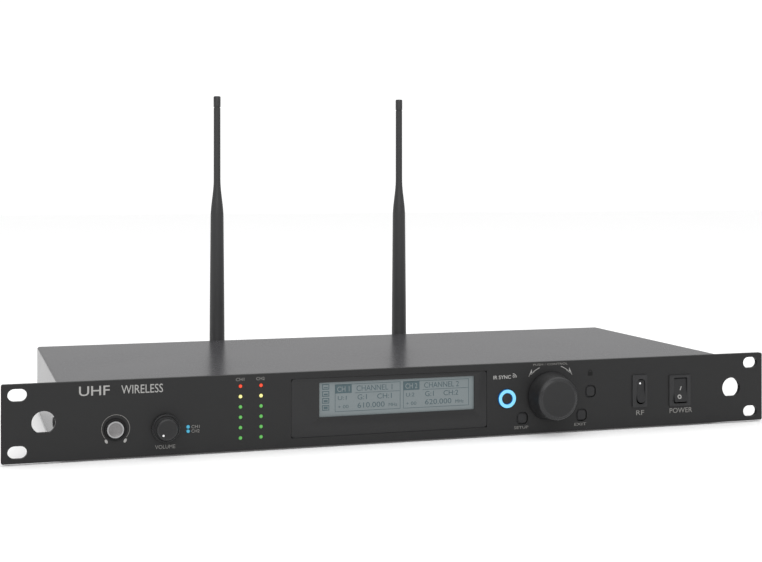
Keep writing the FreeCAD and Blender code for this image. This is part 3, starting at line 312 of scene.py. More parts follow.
def make_camera():
    """A level camera, to the left of the unit and turned to the right, with a lowered frame."""
    bpy.ops.object.camera_add(location=(-0.2701, -0.7907, 0.1341),
                              rotation=(math.radians(90), 0, math.radians(-17.53)))
    camera = bpy.context.object
    camera.data.sensor_width = 36
    camera.data.lens = 65.04
    camera.data.shift_y = -0.1298
    camera.data.clip_start = 0.01
    camera.data.dof.use_dof = False
    bpy.context.scene.camera = camera


# ---- Modelling by hand -----------------------------------------------------------------

FACING = {"front": (90, 0, 0), "back": (-90, 0, 0), "up": (0, 0, 0), "right": (0, 90, 0),
          "left": (0, -90, 0)}


def take(piece):
    """Make one object the only selected and active one."""
    bpy.ops.object.select_all(action="DESELECT")
    piece.select_set(True)
    bpy.context.view_layer.objects.active = piece


def settle(piece):
    """Put the piece's place and turn into its mesh."""
    take(piece)
    bpy.ops.object.transform_apply(location=True, rotation=True, scale=True)
    return piece


def clean(piece):
    """Merge doubled points and turn every face outwards."""
    take(piece)
    bpy.ops.object.mode_set(mode="EDIT")
    bpy.ops.mesh.select_all(action="SELECT")
    bpy.ops.mesh.remove_doubles(threshold=0.000002)
    bpy.ops.mesh.normals_make_consistent(inside=False)
    bpy.ops.object.mode_set(mode="OBJECT")
    return piece


def soften(piece, width, segments=2, angle=32):
    """Round the sharp edges by a width in millimetres and shade the rest smooth."""
    take(piece)
    if width:
        bevel = piece.modifiers.new("soft_edges", "BEVEL")
        bevel.width = width * MM
        bevel.segments = segments
        bevel.limit_method = "ANGLE"
        bevel.angle_limit = math.radians(angle)
        bevel.use_clamp_overlap = True
        bpy.ops.object.modifier_apply(modifier=bevel.name)
    bpy.ops.object.shade_smooth_by_angle(angle=math.radians(angle))
    return piece


def loop_of(name, points, fill):
    """A ring of joined points, shaped from a circle; points are (x, y, z) in metres."""
    bpy.ops.object.select_all(action="DESELECT")
    bpy.ops.mesh.primitive_circle_add(vertices=len(points), radius=MM,
                                      fill_type="NGON" if fill else "NOTHING",
                                      location=(0, 0, 0))
    piece = bpy.context.object
    piece.name = piece.data.name = name
    for vertex, point in zip(piece.data.vertices, points):
        vertex.co = point
    return piece


def lathe(name, centre, outline, facing="front", sides=72, soft=0.0):
    """Spin a closed outline of (radius, height) points round the facing direction."""
    points = [(radius * MM, 0, height * MM) for radius, height in outline]
    piece = loop_of(name, points, fill=False)
    bpy.ops.object.mode_set(mode="EDIT")
    bpy.ops.mesh.select_all(action="SELECT")
    bpy.ops.mesh.spin(steps=sides, angle=math.tau, center=(0, 0, 0), axis=(0, 0, 1))
    bpy.ops.object.mode_set(mode="OBJECT")
    clean(piece)
    piece.rotation_euler = [math.radians(turn) for turn in FACING[facing]]
    piece.location = Vector(centre) * MM
    settle(piece)
    return soften(piece, soft)


def prism(name, outline, plane, start, end, soft=0.0, segments=2):
    """Extrude an outline; plane XZ runs along Y, YZ along X and XY along Z."""
    along = {"XZ": 1, "YZ": 0, "XY": 2}[plane]
    first, second = [axis for axis in range(3) if axis != along]
    points = []
    for a, b in outline:
        point = [0.0, 0.0, 0.0]
        point[first], point[second], point[along] = a * MM, b * MM, start * MM
        points.append(point)
    piece = loop_of(name, points, fill=True)
    travel = [0.0, 0.0, 0.0]
    travel[along] = (end - start) * MM
    bpy.ops.object.mode_set(mode="EDIT")
    bpy.ops.mesh.select_all(action="SELECT")
    bpy.ops.mesh.extrude_region_move(TRANSFORM_OT_translate={"value": travel})
    bpy.ops.object.mode_set(mode="OBJECT")
    clean(piece)
    return soften(piece, soft, segments) if soft is not None else piece


def rounded(x0, x1, z0, z1, radius, steps=5):
    """The outline of a rectangle with round corners."""
    points = []
    for cx, cz, turn in ((x1 - radius, z1 - radius, 0), (x0 + radius, z1 - radius, 90),
                         (x0 + radius, z0 + radius, 180), (x1 - radius, z0 + radius, 270)):
        for step in range(steps + 1):
            angle = math.radians(turn + 90 * step / steps)
            points.append((cx + radius * math.cos(angle), cz + radius * math.sin(angle)))
    return points


def ring_points(a, b, radius, count):
    """Points evenly spaced round a circle."""
    return [(a + radius * math.cos(math.tau * step / count),
             b + radius * math.sin(math.tau * step / count)) for step in range(count)]


def carve(piece, *cutters, operation="DIFFERENCE"):
    """Cut other pieces out of this one, and remove them."""
    for cutter in cutters:
        take(piece)
        modifier = piece.modifiers.new("carve", "BOOLEAN")
        modifier.operation = operation
        modifier.object = cutter
        modifier.solver = "EXACT"
        bpy.ops.object.modifier_apply(modifier=modifier.name)
        bpy.data.objects.remove(cutter, do_unlink=True)
    return piece


def join(name, parts):
    """Make one piece of several."""
    bpy.ops.object.select_all(action="DESELECT")
    for part in parts:
        part.select_set(True)
    bpy.context.view_layer.objects.active = parts[0]
    if len(parts) > 1:
        bpy.ops.object.join()
    piece = bpy.context.view_layer.objects.active
    piece.name = piece.data.name = name
    return piece


def dress(piece, paint, body="case", stands_for=()):
    """Give a finished piece its material, its body and the nodes it stands for."""
    if paint:
        piece.data.materials.clear()
        piece.data.materials.append(PAINT[paint])
    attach(piece, body)
    if stands_for:
        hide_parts(*stands_for)
    return piece


def paint_within(piece, paint, x, z, near, far):
    """Give a second material to the faces between two distances from a front-to-back axis."""
    piece.data.materials.append(PAINT[paint])
    for face in piece.data.polygons:
        reach = math.hypot(face.center.x / MM - x, face.center.z / MM - z)
        if near <= reach <= far:
            face.material_index = len(piece.data.materials) - 1


def tip(piece, pivot, degrees):
    """Turn a piece about a line along X through a pivot."""
    turn = math.radians(degrees)
    pivot = Vector(pivot) * MM
    piece.rotation_euler = (turn, 0, 0)
    moved = Vector(pivot)
    moved.rotate(piece.rotation_euler)
    piece.location = pivot - moved
    return settle(piece)


# ---- Display ---------------------------------------------------------------------------

def make_window():
    low, high = node_box("display_window")
    window = prism("display_window_frame", rounded(low.x, high.x, low.z, high.z, 2.0), "XZ",
                   low.y, high.y, soft=None)
    opening = prism("opening", rounded(*LCD_VIEW, 0.5), "XZ", low.y - 1, high.y + 1, soft=None)
    carve(window, opening)
    clean(window)
    soften(window, 0.08)
    dress(window, "window", stands_for=["display_window"])


def make_screen():
    low, high = node_box("lcd_glass")
    screen = prism("display_screen", rounded(low.x, high.x, low.z, high.z, 0.4), "XZ",
                   low.y, high.y, soft=0.1)
    dress(screen, "lcd", stands_for=["lcd_glass"])
    return low.y


def strip(x0, x1, z0, z1, level, lift=PRINT):
    """A thin filled rectangle of print whose front stands just in front of a level."""
    return prism("strip", [(x0, z0), (x1, z0), (x1, z1), (x0, z1)], "XZ", level - lift, level,
                 soft=None)


def frame_lines(x0, x1, z0, z1, level, width):
    return [strip(x0, x1, z0, z0 + width, level), strip(x0, x1, z1 - width, z1, level),
            strip(x0, x0 + width, z0 + width, z1 - width, level),
            strip(x1 - width, x1, z0 + width, z1 - width, level)]


def words(text, x0, z0, width, height, level, lift=PRINT, weight=0.0):
    """Words printed upright on a plane facing the front, fitted to a width and height."""
    bpy.ops.object.select_all(action="DESELECT")
    bpy.ops.object.text_add(location=(0, 0, 0))
    label = bpy.context.object
    label.data.body = text
    label.data.resolution_u = 3
    label.data.extrude = 0.05
    label.data.offset = weight
    bpy.ops.object.convert(target="MESH")
    label = bpy.context.object
    corners = [vertex.co for vertex in label.data.vertices]
    low = [min(point[axis] for point in corners) for axis in range(3)]
    high = [max(point[axis] for point in corners) for axis in range(3)]
    for vertex in label.data.vertices:
        across = (vertex.co.x - low[0]) / (high[0] - low[0])
        up = (vertex.co.y - low[1]) / (high[1] - low[1])
        out = (vertex.co.z - low[2]) / (high[2] - low[2])
        vertex.co = ((x0 + across * width) * MM, (level - out * lift) * MM,
                     (z0 + up * height) * MM)
    return clean(label)


def make_screen_print(level):
    """A status column and one framed box for each channel, as segments on the ground."""
    left, _, low, high = LCD_VIEW
    ink, ground = [], []
    for row in range(4):
        z0 = low + 3.7 + (3 - row) * 4.15
        ink += frame_lines(left + 2.0, left + 6.4, z0, z0 + 3.3, level, 0.5)
        ink.append(strip(left + 3.0, left + 5.4, z0 + 0.9, z0 + 1.5 + 0.3 * row, level))
    boxes = ((1, -49.6, -8.6), (2, -6.8, 35.6))
    for number, x0, x1 in boxes:
        z0, z1 = low + 2.6, high - 1.6
        ink += frame_lines(x0, x1, z0, z1, level, 0.28)
        ink.append(strip(x0 + 0.2, x0 + 10.4, z1 - 5.4, z1 - 0.2, level))
        ink.append(strip(x0 + 12.4, x1 - 0.4, z1 - 5.6, z1 - 5.35, level))
        ground.append(words(f"CH {number}", x0 + 1.4, z1 - 4.5, 7.6, 3.2, level, 2 * PRINT,
                            weight=0.01))
        ink.append(words(f"CHANNEL {number}", x0 + 13.4, z1 - 4.5, 22.5, 3.3, level))
        ink.append(words(f"U:{number}", x0 + 1.8, z0 + 7.0, 5.4, 2.3, level))
        ink.append(words(f"G:1    CH:{number}", x0 + 14.0, z0 + 6.7, 21.5, 3.1, level))
        ink.append(words("+ 00", x0 + 1.8, z0 + 1.9, 6.6, 2.0, level))
        ink.append(words(f"{600 + 10 * number}.000", x0 + 14.0, z0 + 1.7, 17.0, 3.2, level))
        ink.append(words("MHz", x0 + 33.6, z0 + 1.8, 5.4, 2.0, level))
    dress(join("display_segments", ink), "lcd_ink")
    dress(join("display_tab_text", ground), "lcd")


# ---- Lights ----------------------------------------------------------------------------

def make_domes(name, node, places, paint):
    """Light pipes ending in low domes just proud of the panel."""
    outline = [(0, -2.6), (LED_ROUND, -2.6), (LED_ROUND, -0.45), (1.0, -0.25), (0.98, 0.02),
               (0.86, 0.2), (0.62, 0.3), (0.32, 0.34), (0, 0.35)]
    domes = [lathe("dome", (x, FACE, z), outline, sides=28) for x, z in places]
    dress(join(name, domes), paint, stands_for=[node])


def make_lights():
    low, high = node_box("meter_leds_green")
    columns = (low.x + LED_ROUND, high.x - LED_ROUND)
    step = (high.z - low.z - 2 * LED_ROUND) / 3
    rows = [low.z + LED_ROUND + step * row for row in range(6)]
    for colour, heights in (("green", rows[:4]), ("yellow", rows[4:5]), ("red", rows[5:])):
        make_domes(f"level_lights_{colour}", f"meter_leds_{colour}",
                   [(x, z) for x in columns for z in heights], colour)
    low, high = node_box("channel_leds_blue")
    make_domes("channel_lights", "channel_leds_blue",
               [((low.x + high.x) / 2, z) for z in (low.z + LED_ROUND, high.z - LED_ROUND)],
               "blue")


# ---- Front controls --------------------------------------------------------------------

def make_headphone():
    x, _, z = middle("headphone_ring")
    centre = (x, FACE, z)
    ring = [(4.95, 0), (6.3, 0), (6.3, 0.9), (6.05, 1.35), (5.6, 1.5), (5.25, 1.5),
            (4.95, 1.25)]
    # The ring nut's near-black tone is partly its own black and partly painted shade of the
    # recess.
    dress(lathe("headphone_ring_nut", centre, ring), "ring_nut_painted_shade",
          stands_for=["headphone_ring"])
    cap = [(0, -6.9), (3.0, -6.9), (3.2, -6.6), (3.2, 0.7), (4.5, 0.7), (4.75, 0.95),
           (4.75, 1.7), (4.6, 1.93), (4.3, 2.0), (4.0, 1.95), (3.75, 1.75), (2.6, 1.45),
           (1.3, 1.3), (0, 1.25)]
    cap = dress(lathe("headphone_dust_cap", centre, cap), "cap", body="headphone_cap",
                stands_for=["headphone_cap"])
    # Painted shade: the dish inside the rim is darker than the rim.
    paint_within(cap, "cap_dish_painted_shade", x, z, 0, 3.95)


def make_volume_knob():
    x, _, z = middle("volume_knob")
    centre = (x, FACE, z)
    outline = [(0, 2.6), (5.8, 2.6), (5.8, 0.4), (7.7, 0.4), (8.0, 0.6), (8.0, 2.2),
               (7.9, 2.5), (7.65, 2.62), (7.35, 2.5), (7.1, 2.15), (6.7, 2.0), (6.45, 2.25),
               (6.3, 6.1), (6.15, 6.7), (5.85, 7.15), (5.45, 7.36), (5.1, 7.4), (4.75, 7.3),
               (0, 7.28)]
    knob = dress(lathe("volume_knob_cap", centre, outline), "knob", body="volume_control",
                 stands_for=["volume_knob"])
    # Painted light: the groove and side wall are lighter than the face.
    paint_within(knob, "knob_wall_painted_light", x, z, 6.2, 7.7)
    paint_within(knob, "knob_rim", x, z, 7.7, 8.1)
    paint_within(knob, "knob_rim", x, z, 5.2, 6.26)
    # The pointer dot's faint glow is painted light.
    dot = [(0, 7.0), (0.62, 7.0), (0.62, 7.3), (0.5, 7.36), (0, 7.38)]
    dress(lathe("volume_pointer_dot", (x - 2.3, FACE, z - 3.2), dot, sides=28), "white_mark_painted_glow",
          body="volume_control")


def make_sync_key():
    x, _, z = middle("sync_light_ring")
    centre = (x, FACE, z)
    outline = [(3.3, -3.4), (5.75, -3.4), (5.75, 0.55), (5.65, 0.9), (3.95, 0.9), (3.6, 0.8),
               (3.3, 0.4)]
    ring = dress(lathe("sync_ring_light", centre, outline), "ring", body="sync_key",
                 stands_for=["sync_light_ring"])
    ring.data.materials.append(PAINT["ring_side"])
    for face in ring.data.polygons:
        face.material_index = 0 if face.normal.y < -0.9 else 1
    outline = [(0, -3.4), (3.25, -3.4), (3.25, 0.05), (3.1, 0.25), (2.8, 0.36), (0, 0.4)]
    dress(lathe("sync_button_cap", centre, outline), "key", body="sync_key",
          stands_for=["sync_button"])


def make_control_knob():
    x, _, z = middle("control_knob")
    outline = [(0, 3.2), (6, 3.2), (6, 1.0), (15.0, 1.0), (15.2, 1.2), (15.15, 1.6),
               (14.6, 3.0), (13.9, 6.0), (13.45, 9.5), (13.3, 11.3), (13.15, 11.9),
               (12.85, 12.4), (12.3, 12.75), (11.9, 12.8), (11.6, 13.0), (11.3, 13.16),
               (11.0, 13.2), (10.7, 13.14), (10.4, 13.05), (0, 13.03)]
    knob = lathe("control_knob_cap", (x, FACE, z), outline, sides=96)
    dress(knob, "knob", body="control_knob", stands_for=["control_knob"])
    # Painted shade: the skirt and side wall are darker than the face.
    paint_within(knob, "knob_side_painted_shade", x, z, 13.2, 16)
    paint_within(knob, "knob_rim", x, z, 10.6, 13.2)


def make_keys():
    for key in ("setup", "exit", "lock"):
        low, high = node_box(f"{key}_button")
        x, _, z = middle(f"{key}_button")
        half = 2.9
        cap = prism(f"{key}_key_cap",
                    rounded(x - half, x + half, z - half, z + half, 1.9, 8), "XZ",
                    low.y, 0.6, soft=0.38, segments=3)
        half = 3.55
        step = prism("step", rounded(x - half, x + half, z - half, z + half, 2.4, 8), "XZ",
                     FACE + 0.55, 0.6, soft=0.3)
        cap = join(f"{key}_key_cap", [cap, step])
        dress(cap, "key", body=f"{key}_key", stands_for=[f"{key}_button"])


ROCKER_PIVOT = 0.4
ROCKER_TILT = 7
ROCKER_UNDER = -2.6
ROCKER_END_GAP = 0.36                 # between a rocker's ends and its opening


def make_rocker(name, body, mouth, mouth_corner, half_wide, lift, marks):
    """A switch bezel with its case, and a rocker with a shallow V front.

    mouth is half the height of the bezel's opening and lift the height of its middle
    above the bezel's own; marks are (label, paint, side, maker), side 1 being the upper.
    """
    low, high = node_box(f"{name}_body")
    x = middle(f"{name}_rocker").x
    z = (low.z + high.z) / 2 + lift
    front = low.y
    bezel = prism(f"{name}_bezel", rounded(low.x, high.x, low.z, high.z, 0.6), "XZ", front,
                  FACE, soft=None)
    skirt = prism("skirt", rounded(low.x + 0.7, high.x - 0.7, low.z + 0.7, high.z - 0.7, 0.4),
                  "XZ", FACE - 0.2, high.y, soft=None)
    carve(bezel, skirt, operation="UNION")
    sides = (x - half_wide - 0.18, x + half_wide + 0.18)
    opening = prism("opening", rounded(*sides, z - mouth, z + mouth, mouth_corner, 8), "XZ",
                    front - 1, 1, soft=None)
    room = prism("room", rounded(*sides, z - mouth - 0.75, z + mouth + 0.75, 0.5), "XZ", FACE,
                 10.5, soft=None)
    carve(bezel, opening, room)
    clean(bezel)
    soften(bezel, 0.16)
    dress(bezel, "bezel", stands_for=[f"{name}_body"])

    pivot = (x, ROCKER_PIVOT, z)
    swing = math.hypot(mouth - ROCKER_END_GAP, ROCKER_PIVOT - front)
    end = []
    for step in range(7):
        level = front - 0.35 + (ROCKER_UNDER - front + 0.35) * step / 6
        end.append((level, math.sqrt(swing ** 2 - (ROCKER_PIVOT - level) ** 2)))
    side = [(level, z - reach) for level, reach in reversed(end)]
    side += [(front + 0.5, z), (front - 0.28, z + end[0][1] - 0.9)]
    side += [(level, z + reach) for level, reach in end[4:]]
    side += [(ROCKER_UNDER, z + 5), (ROCKER_PIVOT + 3.2, z + 2), (ROCKER_PIVOT + 3.2, z - 2),
             (ROCKER_UNDER, z - 5)]
    rocker = prism(f"{name}_paddle", side, "YZ", x - half_wide, x + half_wide, soft=None)
    tall = mouth - ROCKER_END_GAP
    plan = prism("plan", rounded(x - half_wide, x + half_wide, z - tall, z + tall,
                                 mouth_corner + 0.2, 8), "XZ", front - 3, 9, soft=None)
    carve(rocker, plan, operation="INTERSECT")
    clean(rocker)
    soften(rocker, 0.2, segments=3)
    tip(rocker, pivot, -ROCKER_TILT)
    dress(rocker, "key", body=body, stands_for=[f"{name}_rocker"])
    slope = math.degrees(math.atan(0.85 / tall))
    for label, paint, half, maker in marks:
        mark = maker(x, z, front + 0.47)
        mark.name = mark.data.name = label
        tip(mark, (x, front + 0.5, z), slope * half)
        tip(mark, pivot, -ROCKER_TILT)
        dress(mark, paint, body=body)


def make_switches():
    def lamp(x, z, level):
        return lathe("lamp", (x - 0.4, level, z + 4.8),
                     [(0, -0.4), (0.65, -0.4), (0.65, 0.05), (0.5, 0.14), (0, 0.18)], sides=24)

    def stroke(x, z, level):
        return prism("stroke", [(x - 0.4, z - 0.4), (x + 0.2, z - 0.4), (x + 1.1, z + 2.1),
                                (x + 0.5, z + 2.1)], "XZ", level - 0.08, level + 0.1, soft=None)

    def circle(x, z, level):
        return lathe("circle", (x - 1.0, level, z - 4.5),
                     [(0.8, -0.1), (1.4, -0.1), (1.4, 0.08), (0.8, 0.08)], sides=32)

    # The RF rocker's white dot carries a faint painted glow.
    make_rocker("rf_switch", "rf_rocker", 8.0, 2.6, 2.85, -0.4,
                [("rf_lamp", "white_mark_painted_glow", 1, lamp)])
    make_rocker("power_switch", "power_rocker", 8.25, 0.8, 4.6, 0.0,
                [("power_mark_on", "print", 1, stroke), ("power_mark_off", "print", -1, circle)])


# ---- Legends ---------------------------------------------------------------------------

def arc_line(x, z, radius, start, end, width, level):
    """A thin printed arc; angles run anticlockwise from the right, in degrees."""
    steps = max(6, int(abs(end - start) / 6))
    angles = [math.radians(start + (end - start) * step / steps) for step in range(steps + 1)]
    outer = [(x + (radius + width / 2) * math.cos(a), z + (radius + width / 2) * math.sin(a))
             for a in angles]
    inner = [(x + (radius - width / 2) * math.cos(a), z + (radius - width / 2) * math.sin(a))
             for a in reversed(angles)]
    return prism("arc", outer + inner, "XZ", level - PRINT, level, soft=None)


def arrow_tip(x, z, degrees, length, width, level):
    """A swept arrowhead whose point is at x, z and points along an angle."""
    turn = math.radians(degrees)
    shape = [(0, 0), (-length, width / 2), (-length * 0.72, 0), (-length, -width / 2)]
    points = [(x + a * math.cos(turn) - b * math.sin(turn),
               z + a * math.sin(turn) + b * math.cos(turn)) for a, b in shape]
    return prism("tip", points, "XZ", level - PRINT, level, soft=None)


def make_legends():
    """Generic words and signs printed on the panel, placed from its lower edge."""
    def printed(text, x0, x1, height, tall, weight=0.0):
        return words(text, x0, PANEL_BASE + height, x1 - x0, tall, FACE, weight=weight)

    bright = [printed("UHF", -199.0, -182.0, 35.9, 5.4, 0.006),
              printed("WIRELESS", -175.5, -151.9, 36.1, 4.9),
              printed("IR SYNC", 51.3, 63.0, 34.5, 2.3, 0.015)]
    for radius in (0.9, 1.8, 2.7):
        bright.append(arc_line(64.0, PANEL_BASE + 34.9, radius, 5, 85, 0.42, FACE))
    dim = [printed("VOLUME", -156.4, -144.9, 3.7, 2.2), printed("CH1", -135.6, -130.9, 14.5, 1.8),
           printed("CH2", -135.6, -130.9, 12.0, 1.8), printed("CH1", -109.7, -104.7, 40.5, 1.8),
           printed("CH2", -97.6, -92.6, 40.5, 1.8), printed("PUSH / CONTROL", 78.0, 101.4,
                                                            41.8, 1.3),
           printed("SETUP", 65.1, 74.6, 3.2, 1.7), printed("EXIT", 106.0, 114.2, 3.1, 1.7),
           printed("RF", 149.3, 154.9, 7.6, 3.0), printed("POWER", 173.2, 189.5, 7.6, 3.2)]

    x, _, z = middle("headphone_ring")
    dim.append(arc_line(x + 0.25, z + 0.45, 7.87, -41, 222, 0.26, FACE))
    for side in (-1, 1):
        cx, cz = x + 0.25 + side * 5.3, z + 0.45 - 7.0
        lean = math.radians(side * 28)
        outline = []
        for step in range(20):
            across = 0.75 * math.cos(math.tau * step / 20)
            up = 1.25 * math.sin(math.tau * step / 20)
            outline.append((cx + across * math.cos(lean) + up * math.sin(lean),
                            cz - across * math.sin(lean) + up * math.cos(lean)))
        bright.append(prism("pad", outline, "XZ", FACE - PRINT, FACE, soft=None))

    x, _, z = middle("control_knob")
    for start, end, radius, point in ((111.5, 136.5, 19.25, 139.2), (68, 42.5, 19.7, 39.9)):
        bright.append(arc_line(x, z, radius, start, end, 0.42, FACE))
        turn = math.radians(point)
        ahead = point + (92 if point > 90 else -92)
        bright.append(arrow_tip(x + radius * math.cos(turn), z + radius * math.sin(turn),
                                ahead, 5.0, 2.7, FACE))
    dress(join("bright_legends", bright), "print")
    dress(join("dim_legends", dim), "dim_print")

    x, _, z = middle("lock_button")
    dark = [prism("padlock", rounded(x - 1.6, x + 1.6, z + 9.8, z + 12.2, 0.3), "XZ",
                  FACE - PRINT, FACE, soft=None),
            arc_line(x, z + 12.3, 1.05, 0, 180, 0.5, FACE)]
    dress(join("lock_symbol", dark), "dark_print")


# ---- Antennas --------------------------------------------------------------------------

def make_whip(side):
    node = f"antenna_{side}_whip"
    pin = middle(f"antenna_{side}_hinge_pin")
    base, top = pin.z + FORK_ROUND + 0.3, node_box(node)[1].z
    cap = top - 7.7
    thin = cap - 53
    flare = thin - 27
    outline = [(0, base), (5.2, base), (5.8, base + 0.4), (6.2, base + 1.0)]
    for ring in range(3):
        groove = base + 3.0 + ring * 2.3
        outline += [(6.26, groove), (5.95, groove + 0.25), (5.95, groove + 0.75),
                    (6.26, groove + 1.0)]
    outline += [(6.26, base + 10.6), (6.0, base + 11.3), (5.6, base + 11.8),
                (5.45, base + 12.6), (5.3, base + 40), (5.0, (base + flare) / 2 + 20),
                (4.72, flare - 3)]
    for step in range(9):
        share = step / 8
        ease = share * share * (3 - 2 * share)
        outline.append((4.7 + (2.47 - 4.7) * ease, flare + 27 * share))
    outline += [(2.45, thin + 20), (2.42, cap - 0.9), (2.2, cap - 0.7), (2.2, cap - 0.1),
                (2.55, cap), (2.55, top - 0.9), (2.45, top - 0.4), (2.1, top - 0.08),
                (1.7, top), (0, top)]
    whip = lathe(f"{side}_whip_sleeve", (pin.x, pin.y, 0), outline, facing="up", sides=56)
    tongue = [(pin.y + 5 * math.cos(a), pin.z + 5 * math.sin(a))
              for a in [math.pi + math.pi * step / 16 for step in range(17)]]
    tongue += [(pin.y + 4.6, base + 0.3), (pin.y - 4.6, base + 0.3)]
    blade = prism("blade", tongue, "YZ", pin.x - 2.1, pin.x + 2.1, soft=0.15)
    dress(join(f"{side}_whip_sleeve", [whip, blade]), "sleeve", body=f"{side}_whip",
          stands_for=[node])


def make_coupling(side):
    """A bayonet collar with a ribbed grip."""
    node = f"antenna_{side}_coupling"
    low, high = node_box(node)
    centre = ((low.x + high.x) / 2, low.y, (low.z + high.z) / 2)
    long = high.y - low.y
    outline = [(4.95, 0), (6.6, 0), (6.9, 0.3), (6.9, 1.4), (7.15, 1.6), (7.15, long - 2.2),
               (6.9, long - 2.0), (6.6, long - 0.3), (6.25, long), (4.95, long)]
    collar = lathe(f"{side}_bayonet_collar", centre, outline, facing="back", sides=72)
    dress(collar, "nickel", stands_for=[node])
    ribs = []
    for rib in range(24):
        angle = math.tau * rib / 24
        outline = [(0, 1.8), (0.28, 1.9), (0.28, long - 2.5), (0, long - 2.4)]
        place = (centre[0] + 6.95 * math.cos(angle), centre[1], centre[2] + 6.95 * math.sin(angle))
        ribs.append(lathe("rib", place, outline, facing="back", sides=8))
    dress(join(f"{side}_collar_ribs", ribs), "nickel")


# ---- Elbows, sockets, screws and feet ---------------------------------------------------

def make_elbow(side):
    """A bayonet plug whose forked end holds the whip's hinge, with a groove at its neck."""
    node = f"antenna_{side}_elbow"
    pin = middle(f"antenna_{side}_hinge_pin")
    reach = pin.y - CASE_BACK
    outline = [(0, 1.5), (3.7, 1.5), (3.95, 1.75), (3.95, 11.1), (5.0, 11.1), (5.2, 11.3),
               (5.2, 13.2), (4.7, 13.4), (4.7, 13.7), (5.2, 13.9), (5.4, 14.2),
               (5.4, reach - 0.8), (0, reach - 0.8)]
    elbow = lathe(node, (pin.x, CASE_BACK, pin.z), outline, facing="back", sides=56)
    nose = prism("nose", ring_points(pin.y, pin.z, FORK_ROUND, 48), "YZ", pin.x - FORK_ROUND,
                 pin.x + FORK_ROUND, soft=None)
    carve(elbow, nose, operation="UNION")
    gap = prism("gap", [(pin.y - 5.3, pin.z - 10), (pin.y + 10, pin.z - 10),
                        (pin.y + 10, pin.z + 10), (pin.y - 5.3, pin.z + 10)], "YZ",
                pin.x - 2.4, pin.x + 2.4, soft=None)
    eye = prism("eye", ring_points(pin.y, pin.z, PIN_ROUND, 24), "YZ", pin.x - 9, pin.x + 9,
                soft=None)
    carve(elbow, gap, eye)
    clean(elbow)
    soften(elbow, 0.3)
    dress(elbow, "black", body=f"{side}_elbow", stands_for=[node])


def cross_screw(place, facing, reach):
    """A domed screw with a cross recess; place is where its head meets the surface."""
    head, tall = SCREW_HEAD, SCREW_TALL
    outline = [(0, -reach), (1.45, -reach), (1.45, 0), (head, 0), (head, tall * 0.45),
               (head * 0.93, tall * 0.75), (head * 0.75, tall * 0.93), (head * 0.45, tall),
               (0, tall)]
    screw = lathe("screw", (0, 0, 0), outline, facing="up", sides=36)
    for long, wide in ((head * 0.62, 0.35), (0.35, head * 0.62)):
        slot = prism("slot", [(-long, -wide), (long, -wide), (long, wide), (-long, wide)], "XY",
                     tall * 0.35, tall + 1, soft=None)
        carve(screw, slot)
    clean(screw)
    screw.rotation_euler = [math.radians(turn) for turn in FACING[facing]]
    screw.location = Vector(place) * MM
    settle(screw)
    return soften(screw, 0)


def make_screws():
    low, high = node_box("cover_screws")
    across = high.x - SCREW_TALL
    screws = [cross_screw((side * across, y, (low.z + high.z) / 2),
                          "right" if side > 0 else "left", 2.5)
              for side in (-1, 1) for y in (low.y + SCREW_HEAD, high.y - SCREW_HEAD)]
    dress(join("cover_screw_heads", screws), "oxide", stands_for=["cover_screws"])
    back = node_box("xlr_screws")[1].y - SCREW_TALL
    screws = []
    for side in ("left", "right"):
        x, _, z = middle(f"xlr_socket_{side}")
        screws += [cross_screw((x + turn * XLR_SCREW[0], back, z + turn * XLR_SCREW[1]), "back", 4)
                   for turn in (-1, 1)]
    dress(join("socket_screw_heads", screws), "oxide", stands_for=["xlr_screws"])


def make_feet():
    """Moulded feet with a sunk middle."""
    low, high = node_box("rubber_feet")
    tall = high.z - low.z
    outline = [(0, 1.2), (3.0, 1.2), (3.2, 1.0), (3.2, 0.2), (3.4, 0), (6.9, 0), (7.35, 0.25),
               (7.95, tall - 0.3), (FOOT_ROUND, tall), (0, tall)]
    feet = [lathe("foot", (x, y, low.z), outline, facing="up", sides=48)
            for x in (low.x + FOOT_ROUND, high.x - FOOT_ROUND)
            for y in (low.y + FOOT_ROUND, high.y - FOOT_ROUND)]
    dress(join("moulded_feet", feet), "rubber", stands_for=["rubber_feet"])


